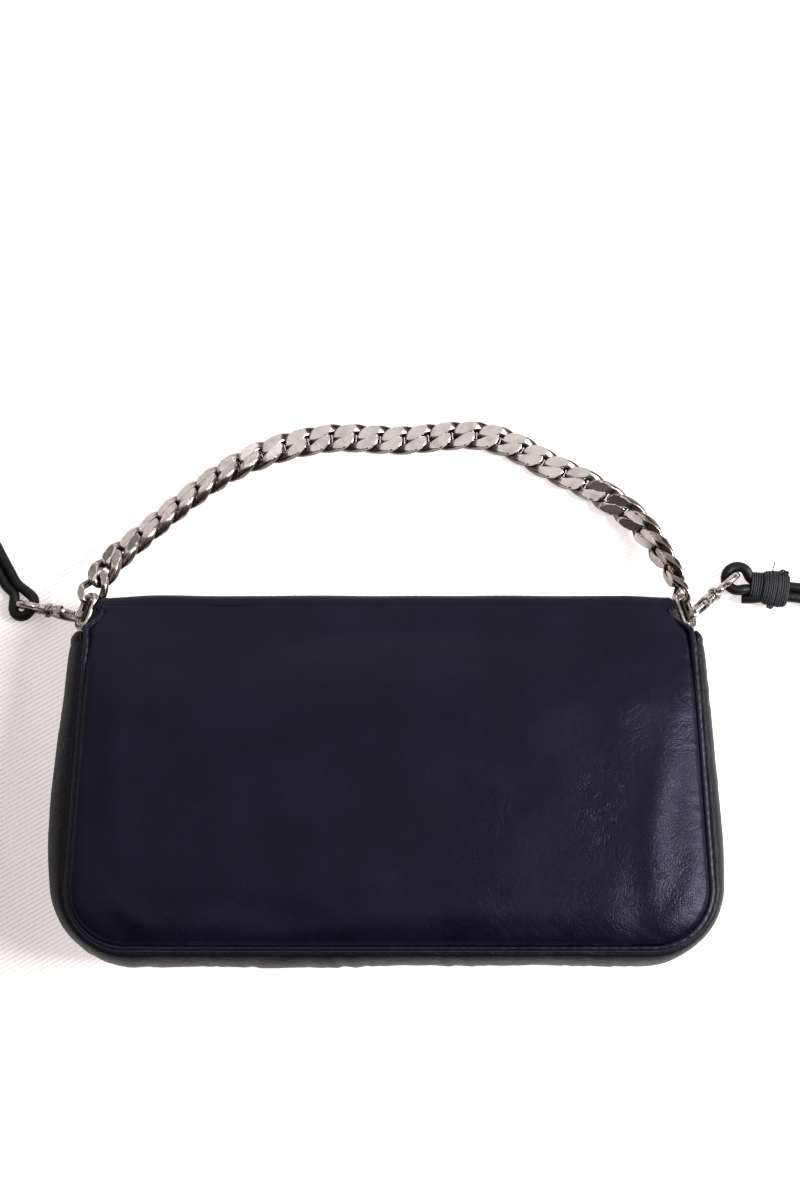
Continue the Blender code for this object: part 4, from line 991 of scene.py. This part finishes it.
# Turned seams: a soft ridge that follows the outline, with small dips at the stitches.
# The back one also climbs the neck to the fold, thinner there
def makeWelt(name, node, radius, height, upNeck, seed):
    s = weltSettings
    path, _, reach = seamPath(s["along"])
    if upNeck:
        neckY = np.linspace(b["shoulderY"], b["neckY"] + s["pastNeck"], s["neckSteps"])[1:]
        neck = np.column_stack([neckHalf(neckY), neckY])
        path = np.vstack([neck[::-1] * (-1, 1), path, neck])
        reach = arcLength(path)
    x, y = path.T
    onNeck = smoothStep(y, b["shoulderY"], b["neckY"]) * upNeck
    x = x + leanAt(y) * upNeck
    x = x - np.sign(x) * s["neckIn"] * onNeck
    z = height(y) + (seamRise + s["neckUp"]) * onNeck
    z = z + s["wander"] * ripple(reach, seed + 1, 5, 0.008, 0.03)
    dips = 0.93 + 0.05 * np.cos(2 * np.pi * reach / b["stitch"]) + 0.05 * ripple(reach, seed, 5, 0.006, 0.02)
    radii = radius * dips * (1 - s["neckThin"] * onNeck)
    shape = tubeShape(np.column_stack([x, y, z]), radii, s["sides"])
    makePiece(name, *shape, weltLook, "bag", "navy_welt", [node])


def onFront(y):
    return np.full_like(y, b["frontWeltR"])


makeWelt("backSeam", "back_welt", b["weltR"] * 0.98, seamHeight, 1, 51)
makeWelt("frontSeam", "front_welt", b["frontWeltR"] * 0.97, onFront, 0, 57)
print("stage: gusset and seams")


frontSettings = {"around": 320, "out": 26, "firstReach": 0.008, "soft": 0.00010,
                 "steps": (0.02, 0.004, 0.0008, 0.00016)}


# Front panel: rows run out from the snap's hole to the panel's outline, along rays that are
# lengthened step by step until they meet it
def makeFront(s):
    inset = b["leather"] / 2 + gap
    turn = np.linspace(0.0, 2 * np.pi, s["around"], endpoint=False)
    way = np.stack([np.cos(turn), np.sin(turn)], axis=-1)
    centre = np.array([0.0, b["snapY"]])
    reach = np.full(len(turn), s["firstReach"])
    for step in s["steps"]:
        moving = np.ones(len(turn), bool)
        while moving.any():
            tip = centre + way * (reach + step)[:, None]
            inside = (seamDistance(tip[:, 0], tip[:, 1], inset) > 0) & (tip[:, 1] < b["frontTop"])
            moving = moving & inside
            reach = np.where(moving, reach + step, reach)
    share = np.linspace(0.0, 1.0, s["out"])[:, None]**1.2
    radius = b["snapHole"] + (reach - b["snapHole"]) * share
    plan = centre + way * radius[:, :, None]
    soft = 1 + ripple2(plan[..., 0], plan[..., 1], 61, 8, 0.02, 0.06)
    soft = s["soft"] * soft * 4 * share * (1 - share)
    grid = pointsOf(plan[..., 0], plan[..., 1], b["frontZ"] + soft)
    makeSheet("frontSkin", grid, panelLook, "bag", "navy_nappa", ["front_panel"], (0, 0, -1), b["leather"],
              wrapCols=True)


makeFront(frontSettings)


# Linings: flap lining, pouch and patch pocket

liningSettings = {
    "cloth": 0.0007, "flapInset": 0.0016, "flapLift": 0.0008, "flapWave": 0.00008,
    "mouthY": 0.0425, "floorIn": 0.0026, "wallIn": 0.0032, "lowZ": 0.0059, "rounding": 0.0060,
    "midZ": 0.018, "pouchWave": 0.0003,
    "pocketCloth": 0.0006, "pocketY": -0.0300, "pocketLong": 0.0560, "pocketHalf": 0.048,
    "pocketGape": 0.0022, "pocketUnder": 0.0008, "pocketOff": 0.0007,
}


# Rows as wide as the flap, drawn in by the inset, a little wavy
def makeFlapLining(s):
    inset = s["flapInset"]
    y = np.linspace(b["foldY"] - b["leather"] - gap - inset, b["flapTip"] + inset, 60)[:, None]
    x = flapHalfAt(y, inset) * np.linspace(-1.0, 1.0, 110)
    z = b["flapThick"] + gap + s["flapLift"] + s["flapWave"] * ripple2(x, y, 71, 8, 0.015, 0.05)
    makeSheet("flapLiningCloth", pointsOf(x, y, z), liningLook, "flap", "black_lining",
              ["flap_lining"], (0, 0, 1), s["cloth"])


# Rounded rings across the bag, from the pouch's open mouth to its closed floor
def makePouch(s):
    rows, count = 44, 160
    y = np.linspace(s["mouthY"], b["baseY"] + s["floorIn"], rows)[:, None]
    turn = np.linspace(0.0, 2 * np.pi, count, endpoint=False)
    halfX = seamHalf(y, s["wallIn"])
    halfZ = (seamHeight(y) - s["wallIn"] - s["lowZ"]) / 2

    def rounded(half, wave):
        flat = (half - s["rounding"]) * np.minimum(1.0, 1.6 * np.abs(wave))
        return np.sign(wave) * (flat + s["rounding"] * np.abs(wave)**0.6)
    x = rounded(halfX, np.cos(turn))
    z = s["lowZ"] + halfZ + rounded(halfZ, np.sin(turn))
    z = z - s["pouchWave"] * ripple2(x, y, 73, 9, 0.02, 0.06) * np.sign(z - s["midZ"])
    faces = [gridQuads(rows, count, wrapCols=True), np.array([np.arange((rows - 1) * count, rows * count)])]
    makePiece("pouchCloth", pointsOf(x, y, z), faces, liningLook, "bag", "black_lining", ["lining"],
              thick=s["cloth"])


# A patch under the back's lining that gapes at its mouth
def makePocket(s):
    u, v = np.linspace(-1.0, 1.0, 60)[None, :], np.linspace(0.0, 1.0, 36)[:, None]
    y = s["pocketY"] + s["pocketLong"] * v
    wallZ = seamHeight(y) - s["wallIn"] - s["pocketUnder"] - 2 * gap
    gape = s["pocketGape"] * np.sin(np.clip(v, 0, 0.5) * math.pi) * (1 - u**6)
    z = wallZ - gape - s["pocketOff"]
    makeSheet("pocketCloth", pointsOf(s["pocketHalf"] * u, y, z), liningLook, "bag", "black_lining",
              ["inner_pocket"], (0, 0, -1), s["pocketCloth"])


makeFlapLining(liningSettings)
makePouch(liningSettings)
makePocket(liningSettings)
print("stage: front and linings")


# Ring tabs and rings

# Points at angles on a circle about a centre
def arcPoints(centre, radius, angles):
    return np.stack([centre[0] + radius * np.cos(angles), centre[1] + radius * np.sin(angles)], axis=-1)


# A strip that comes up round the bar from below: its outline across the bar, swept along the bar
def makeTab(label, side):
    s = ringSettings
    bore, outer, tail = s["wire"] + gap / 2, s["wire"] + gap + s["tabWall"], s["tabTail"] / 2
    meet = math.pi - math.asin(tail / 2 / bore)
    lip, mid = s["tabLip"], (outer + bore) / 2
    outline = np.vstack([
        [(-s["tabReach"], tail), (-outer * 1.5, tail), (-outer, tail * 0.98), (-bore - gap, tail * 0.72)],
        arcPoints((0, 0), bore, np.linspace(meet, 2 * math.pi + lip, 40)),
        arcPoints((mid * math.cos(lip), mid * math.sin(lip)), (outer - bore) / 2,
                  lip + math.pi - np.linspace(0.0, math.pi, 10)[1:-1]),
        arcPoints((0, 0), outer, np.linspace(lip, -2.3, 36)),
        [(-outer * 1.8, -tail), (-s["tabReach"], -tail)],
    ])
    out = ringFrame(side)
    inward = unit(np.array([out[0][0], out[1][0], 0.0]))
    bar = np.array([out[0][1], out[1][1], 0.0])
    centre = np.array([side * s["barX"], s["barY"], s["barZ"]])
    rings = []
    # Its two cut edges are a little rounded: share of the half width, and how much thinner there
    for w, thinner in ((-1, 0.00016), (-0.985, 0.00005), (-0.94, 0), (-0.5, 0),
                       (0.5, 0), (0.94, 0), (0.985, 0.00005), (1, 0.00016)):
        high = outline[:, 1] - np.sign(outline[:, 1]) * thinner
        rings.append(centre + np.outer(outline[:, 0], inward) + np.outer(high, (0, 0, 1))
                     + bar * w * s["tabWide"] / 2)
    makePiece(label + "Tab", np.array(rings), tubeFaces(len(rings), len(outline)), tabLook, "bag",
              "navy_nappa", [label + "_ring_tab"], sharp=50)


# A D: straight bar, rounded corners and a slightly bowed outer side
def makeRing(label, side):
    s = ringSettings
    turn = np.linspace(0.0, math.pi / 2, 14)
    line = []
    for outer, end, radius, start in ((1, 1, s["bow"], 0.0), (0, 1, s["corner"], math.pi / 2),
                                      (0, -1, s["corner"], math.pi), (1, -1, s["bow"], 1.5 * math.pi)):
        centre = (s["deep"] - radius if outer else radius, end * (s["long"] / 2 - radius))
        line.append(arcPoints(centre, radius, turn + start))
    line = np.pad(np.vstack(line), ((0, 0), (0, 1)))
    line = spacedLine(np.vstack([line, line[:1]]), 121)[:-1]
    shape = placeShape(tubeShape(line, s["wire"], 18, closed=True, squareness=2.6), ringFrame(side))
    makePiece(label + "Ring", *shape, nickelLook, "bag", "satin_nickel", [label + "_ring"])


for label, side in (("left", -1), ("right", 1)):
    makeTab(label, side)
    makeRing(label, side)


# Curb chain.  rolls turns each link about its own length, in degrees; run is the arch seen from above

chainSettings = {
    "count": 30, "pitch": 0.0091, "cadWire": 0.00145, "wire": 0.00203, "halfWide": 0.0055, "slack": 0.0008,
    "twist": math.radians(55.0), "roundness": 2.4, "ground": 0.0023, "endPlay": 0.0006, "rise": 0.0645,
    "steps": 96, "sides": 30, "squareness": 3.2, "groundRim": 0.00009, "endShare": -0.3,
    # The last two on the next line: where each link's painted shade gives way to its ground flats, as shares
    # of the grinding height
    "fill": 0.955, "climb": 2.4, "unshadedFrom": 0.74, "unshadedTo": 0.96,
    "rolls": [-19, -24, -31, -39, -42, -42, -42, -39, -30, -18, -7, 0, 0, 0, 0,
              0, 0, 0, 0, 0, 0, 0, 5, 14, 27, 42, 56, 69, 80, 88],
    "run": [
        (-1.0, 0.0), (-0.97, 0.13), (-0.92, 0.25), (-0.833, 0.385), (-0.701, 0.58), (-0.544, 0.772),
        (-0.372, 0.905), (-0.196, 0.97), (-0.06, 0.965), (0.067, 0.955), (0.207, 0.98), (0.331, 0.985),
        (0.453, 0.92), (0.574, 0.8), (0.698, 0.694), (0.788, 0.586), (0.871, 0.466), (0.93, 0.31),
        (0.978, 0.157), (1.0, 0.0),
    ],
}


# An oval in X and Y whose points turn about X in step with X, so the oval is twisted end to end.
# The wire's section is a rounded square that turns with it
def linkRings(s, steps, sides):
    halfLong = (s["pitch"] + s["slack"]) / 2 + s["wire"]
    halfWide = s["halfWide"] - s["wire"]
    t = 2 * np.pi * np.arange(8 * steps) / (8 * steps)
    u = halfLong * squared(np.cos(t), s["roundness"])
    v = halfWide * squared(np.sin(t), s["roundness"])
    turn = -s["twist"] * u / halfLong
    line = pointsOf(u, v * np.cos(turn), v * np.sin(turn))
    line = spacedLine(np.vstack([line, line[:1]]), steps + 1)[:-1]
    along = unit(np.roll(line, -1, axis=0) - np.roll(line, 1, axis=0))
    # The section's first axis lies in the oval's own turned plane
    angle = -s["twist"] * line[:, 0] / halfLong
    normal = pointsOf(0.0, -np.sin(angle), np.cos(angle))
    side = unit(np.cross(along, normal))
    lift = np.cross(side, along)
    a = 2 * np.pi * np.arange(sides) / sides + np.pi / sides
    across = squared(np.cos(a), s["squareness"])[None, :, None] * side[:, None, :]
    upward = squared(np.sin(a), s["squareness"])[None, :, None] * lift[:, None, :]
    return line[:, None, :] + s["wire"] * s["fill"] * (across + upward)


# Both faces ground flat: what stands past the grinding height is pressed to it, with a soft rim
def groundLink(s, rings):
    z = rings[..., 2]
    over = np.abs(z) - s["ground"]
    pressed = s["ground"] + s["groundRim"] * np.tanh(np.maximum(over, 0) / s["groundRim"]) * 0.6
    return pointsOf(rings[..., 0], rings[..., 1], np.where(over > 0, np.sign(z) * pressed, z))


# The chain's middle line: the arch at a given rise, as high over the ground as each link's roll
# asks, climbing to the rings at both ends; and how much longer it is than the links need
def chainLine(s, rise, left, right, order, flat, ends):
    middle = (left + right) / 2
    span = (right - left).length / 2
    plan = np.array([(middle.x + span * sx, middle.y + rise * sy) for sx, sy in s["run"]])
    plan = softened(spacedLine(smoothLine(plan, 40), 400), 14)
    reach = arcLength(plan)
    fade = fadeOut(reach, s["climb"] * s["pitch"], 1.5)
    ground = np.interp(reach, order, flat)
    line = np.column_stack([plan, ground + (left.z - ground) * fade + (right.z - ground) * fade[::-1]])
    reach = arcLength(line)
    return line, reach, reach[-1] - order[-1] - ends


# Thirty links set one pitch apart along the line, each turned by its roll
def makeChain(s):
    ring = ringSettings
    hook = Vector((ring["deep"] * ring["hookShare"], ring["long"] / 2, 0))
    left, right = ringFrame(-1) @ hook, ringFrame(1) @ hook
    slim = {**s, "wire": s["cadWire"]}
    coarse = groundLink(slim, linkRings(slim, 60, 16)).reshape(-1, 3)
    rolls = np.radians(s["rolls"])
    flat = np.array([-(coarse[:, 1] * math.sin(a) + coarse[:, 2] * math.cos(a)).min() for a in rolls])
    ends = (s["pitch"] + s["slack"]) / 2 - ring["wire"] - s["endPlay"]
    order = ends + s["pitch"] * np.arange(s["count"])

    # The rise at which the links just fill the line
    low, high = 0.5 * s["rise"], 1.5 * s["rise"]
    for _ in range(50):
        mid = (low + high) / 2
        if chainLine(s, mid, left, right, order, flat, ends)[2] < 0:
            low = mid
        else:
            high = mid
    line, reach, _ = chainLine(s, (low + high) / 2, left, right, order, flat, ends)
    centres = np.stack([np.interp(order, reach, line[:, k]) for k in range(3)], axis=-1)
    beyond = np.vstack([[tuple(left)], centres, [tuple(right)]])

    # Links are heavier than the slim wire, growing from the ends; the end links are slimmer
    heavy = groundLink(s, linkRings(s, s["steps"], s["sides"]))
    light = groundLink(slim, linkRings(slim, s["steps"], s["sides"]))
    faces = gridQuads(s["steps"], s["sides"], wrapRows=True, wrapCols=True)
    parts = []
    unshadedFlats = []
    for i, centre in enumerate(centres):
        along = Vector(beyond[i + 2] - beyond[i]).normalized()
        side = Vector((0, 0, 1)).cross(along).normalized()
        place = placeAt(centre, along, side) @ Matrix.Rotation(rolls[i], 4, "X")
        fromEnd = min(i, s["count"] - 1 - i)
        share = min(fromEnd / 2, 1.0) if fromEnd else s["endShare"]
        link = light + (heavy - light) * share
        parts.append(placeShape((link, [faces]), place))
        # One on the ground flats, nought on the rounded wire, which gets the painted shade
        high = np.abs(link[..., 2]).ravel()
        unshadedFlats.append(smoothStep(high, s["unshadedFrom"] * s["ground"], s["unshadedTo"] * s["ground"]))
    names = [f"link_{i + 1:02d}" for i in range(s["count"])]
    made = makePiece("curbChain", *joinShapes(parts), chainLook, "chain", "satin_nickel", names, sharp=38)
    mark = made.data.attributes.new("unshadedFlats", "FLOAT", "POINT")
    mark.data.foreach_set("value", np.concatenate(unshadedFlats))


makeChain(chainSettings)
print("stage: rings and chain")


# Clasps, each worked out along X with its eye on X, then placed

# The hook's bow between an outer and an inner oval, from its free end round the nose to its base:
# middle line, half width and the way outwards
def hookLine(s, count):
    outlines = []
    for start, end, halfHigh in ((0.0, s["hookLong"], s["hookHalfHigh"]),
                                 (s["innerStart"], s["innerEnd"], s["innerHalf"])):
        mid, halfLong = (start + end) / 2, (end - start) / 2
        first, last = (math.acos((x - mid) / halfLong) for x in (s["gateNear"], s["gateFar"]))
        angle = np.linspace(first, 2 * math.pi + last, count)
        outlines.append(np.stack([mid + halfLong * np.cos(angle), halfHigh * np.sin(angle)], axis=-1))
    outer, inner = outlines
    return (outer + inner) / 2, np.linalg.norm(outer - inner, axis=1) / 2, unit(outer - inner)


# The bow's squared section carried along its line, its free end rounded off
def hookBow(s):
    count, sides = 90, 22
    mid, half, out = hookLine(s, count)
    thick = (s["noseThick"] + (s["baseThick"] - s["noseThick"]) * mid[:, 0] / s["hookLong"]) / 2
    turn = 2 * np.pi * np.arange(sides) / sides
    across, along = squared(np.cos(turn), 2.8), squared(np.sin(turn), 2.8)
    out = np.insert(out, 1, 0.0, axis=1)
    mid = np.insert(mid, 1, 0.0, axis=1)
    rings = mid[:, None, :] + half[:, None, None] * across[None, :, None] * out[:, None, :]
    rings[..., 1] += thick[:, None] * along[None, :]
    for i, size in enumerate((0.55, 0.85, 0.97)):
        rings[i] = mid[i] + (rings[i] - mid[i]) * size
    return rings, tubeFaces(count, sides)


# The hook: its bow, a turned shank with a head past the eye's collar, and the trigger's pin
def makeHook(label, place):
    s = claspSettings
    base, headS = s["innerEnd"], s["bossStart"] + s["bossThick"] + gap
    shank = turnedShape([
        (base + 0.0004, 0), (base + 0.0006, 0.0012), (0.0150, 0.0019), (0.0160, 0.0021), (0.0166, 0.0020),
        (0.0170, s["shankR"]), (headS, s["shankR"]), (headS + 0.00008, 0.0018), (headS + 0.0002, 0.0020),
        (headS + 0.0006, 0.0018), (headS + 0.0008, 0.0010), (headS + 0.0009, 0),
    ], 26)
    pinEnd = [(0.0018, 0.0006), (0.00186, 0.0005), (0.00186, 0)]
    pin = turnedShape([(-x, r) for x, r in reversed(pinEnd)] + pinEnd, 16)
    across = Matrix.Translation((s["pivotS"], 0, s["pivotW"])) @ Matrix.Rotation(math.pi / 2, 4, "Z")
    shape = joinShapes([hookBow(s), shank, placeShape(pin, across)])
    makePiece(label + "Hook", *placeShape(shape, place), nickelLook, label + "_hook", "satin_nickel",
              [label + "_clasp_hook", label + "_trigger_pin"], sharp=50)


# Sprung gate: a lever from the pin to the hook's free end, with a thumb nub
def makeGate(label, place):
    s = claspSettings
    pinS, pinW = s["pivotS"], s["pivotW"]
    level = (s["hookHalfHigh"] + s["innerHalf"]) / 2
    lever = smoothLine([
        (pinS + 0.0013, 0, pinW - 0.0002), (pinS, 0, pinW + 0.0002), (pinS - 0.0025, 0, level - 0.0001),
        (pinS - 0.0052, 0, level), (s["gateNear"] + 0.0004, 0, level - 0.0001),
    ], 10)
    nub = smoothLine([(pinS - 0.0026, 0, level + 0.0002), (pinS - 0.0034, 0, level + 0.0014),
                      (pinS - 0.0046, 0, level + 0.0021)], 8)
    shape = joinShapes([
        tubeShape(lever, np.linspace(0.00082, 0.00072, len(lever)), 14, squareness=2.8, up=(0, 1, 0)),
        tubeShape(nub, np.linspace(0.0008, 0.00055, len(nub)), 12, squareness=2.4, up=(0, 1, 0)),
    ])
    makePiece(label + "Gate", *placeShape(shape, place), nickelLook, label + "_trigger", "satin_nickel",
              [label + "_clasp_trigger"], sharp=50)


# Eye: a wire bow on its turned collar
def makeEye(label, place):
    s = claspSettings
    bore, wire = s["shankR"] + gap, s["eyeWire"]
    near, far = s["bossStart"], s["bossStart"] + s["bossThick"]
    collar = np.array([(near, bore), (near, 0.0023), (near + 0.0003, s["bossR"]), (far - 0.0003, s["bossR"]),
                       (far, 0.0023), (far, bore)])
    turn = 2 * np.pi * np.arange(26) / 26
    rings = pointsOf(collar[:, :1], collar[:, 1:] * np.cos(turn), collar[:, 1:] * np.sin(turn))
    boss = (rings, [gridQuads(len(collar), len(turn), wrapRows=True, wrapCols=True)])
    rootS, rootW = (near + far) / 2, bore + wire + gap / 2
    bow = [(rootS, 0, rootW), (rootS + wire, 0, rootW + wire / 2)]
    bow += [(s["eyeS"] + x, 0, z) for x, z in arcPoints((0, 0), s["eyeR"], np.linspace(2.35, -2.35, 15))]
    bow += [(rootS + wire, 0, -rootW - wire / 2), (rootS, 0, -rootW)]
    shape = joinShapes([boss, tubeShape(smoothLine(bow, 8), wire, 16, squareness=2.3, up=(0, 1, 0))])
    makePiece(label + "Eye", *placeShape(shape, place), nickelLook, "bag", "satin_nickel",
              [label + "_clasp_eye"], sharp=50)


for label, side in (("left", -1), ("right", 1)):
    for makePart in (makeHook, makeGate, makeEye):
        makePart(label, claspFrame(side))
print("stage: clasps")


# CAD pieces that stay: snap halves and base board

for node, look in (("snap_socket", nickelLook), ("snap_stud", nickelLook), ("base_board", boardLook)):
    for slot in bpy.data.objects[node].material_slots:
        slot.material = look


# Floor and light

floorSettings = {"half": 4.0, "colour": (0.90, 0.875, 0.875), "shade": (0.67, 0.615, 0.615), "lift": 0.66,
                 "drop": 0.36, "weave": 0.16, "glow": (1.0, 0.945, 0.945), "twill": 0.0015, "slant": -30.0}


# White twill that glows past white for the camera alone, a painted light.
# The glow is less at the left and near sides, a painted shade, where the weave shows
def floorLook(s):
    look, tree, shader = newTree("whiteTwill")
    place = objectPlace(tree)
    slant = addNode(tree, "Mapping", Vector=place, Rotation=(0.0, 0.0, math.radians(s["slant"])))
    wave = addNode(tree, "TexWave", bands_direction="Y", Vector=slant.outputs[0], Scale=0.314 / s["twill"],
                   Distortion=0.8, Detail=2.0).outputs["Fac"]
    share = times(tree, wave, rampNode(tree, noise(tree, place, 900.0, 3.0), (0.3, 0.6, 0.55, 1.0)))
    apart = addNode(tree, "SeparateXYZ", Vector=place).outputs
    # Painted shade: where the glow drops, at the left and along the near side
    leftSide = rampNode(tree, apart["X"], (-0.150, -0.085, 1.0, 0.0))
    farSide = rampNode(tree, apart["Y"], (0.03, 0.13, 1.0, 0.0))
    nearSide = times(tree, rampNode(tree, apart["Y"], (-0.14, -0.02, 0.30, 0.0)),
                     rampNode(tree, apart["X"], (-0.05, 0.12, 1.0, 0.4)))
    dim = mathNode(tree, "MAXIMUM", times(tree, leftSide, farSide), nearSide)
    drop = times(tree, dim, plus(tree, times(tree, share, s["weave"]), s["drop"]))
    lit = mathNode(tree, "SUBTRACT", s["lift"], drop)
    seen = addNode(tree, "LightPath").outputs["Is Camera Ray"]
    glow = mixColour(tree, times(tree, seen, lit), (0.0, 0.0, 0.0), s["glow"])
    setNode(tree, shader, Base_Color=mixColour(tree, share, s["colour"], s["shade"]), Roughness=0.95,
            Specular_IOR_Level=0.1, Emission_Color=glow, Emission_Strength=1.0)
    return look


# A square floor just under the object
def makeFloor(s):
    h = s["half"]
    mesh = bpy.data.meshes.new("floor")
    mesh.from_pydata([(-h, -h, 0), (h, -h, 0), (h, h, 0), (-h, h, 0)], [], [(0, 1, 2, 3)])
    mesh.materials.append(floorLook(s))
    made = bpy.data.objects.new("floor", mesh)
    bpy.context.collection.objects.link(made)
    made.location.z = -0.0002


makeFloor(floorSettings)

lights = [
    {"name": "overhead", "at": (0.00, 0.62, 1.35), "to": (0.0, 0.62, 0.0), "size": (2.30, 1.70),
     "power": 11.5, "colour": (1.0, 0.965, 0.955)},
    {"name": "rightWindow", "at": (1.02, -0.04, 0.78), "to": (0.06, 0.0, 0.03), "size": (0.34, 0.66),
     "power": 28.0, "colour": (1.0, 0.985, 0.975)},
    {"name": "farWindow", "at": (0.0, 1.85, 0.90), "to": (0.0, 0.05, 0.03), "size": (2.0, 1.0),
     "power": 9.5, "colour": (1.0, 0.97, 0.96)},
    {"name": "leftWindow", "at": (-1.30, 0.75, 0.45), "to": (-0.05, 0.1, 0.0), "size": (1.2, 0.7),
     "power": 2.2, "colour": (1.0, 0.96, 0.94)},
]
roomSettings = {"colour": (0.30, 0.26, 0.235, 1.0), "strength": 0.30}


# Area lights that look at their targets, and an even room light
def makeLights():
    for s in lights:
        data = bpy.data.lights.new(s["name"], "AREA")
        data.shape = "RECTANGLE"
        data.size, data.size_y = s["size"]
        data.energy = s["power"]
        data.color = s["colour"]
        made = bpy.data.objects.new(s["name"], data)
        bpy.context.collection.objects.link(made)
        made.location = s["at"]
        made.rotation_euler = (Vector(s["to"]) - Vector(s["at"])).to_track_quat("-Z", "Y").to_euler()
    world = bpy.data.worlds.new("room")
    world.use_nodes = True
    background = world.node_tree.nodes["Background"]
    background.inputs["Color"].default_value = roomSettings["colour"]
    background.inputs["Strength"].default_value = roomSettings["strength"]
    bpy.context.scene.world = world
    bpy.context.scene.view_settings.view_transform = "Standard"


makeLights()
print("stage: floor and light")
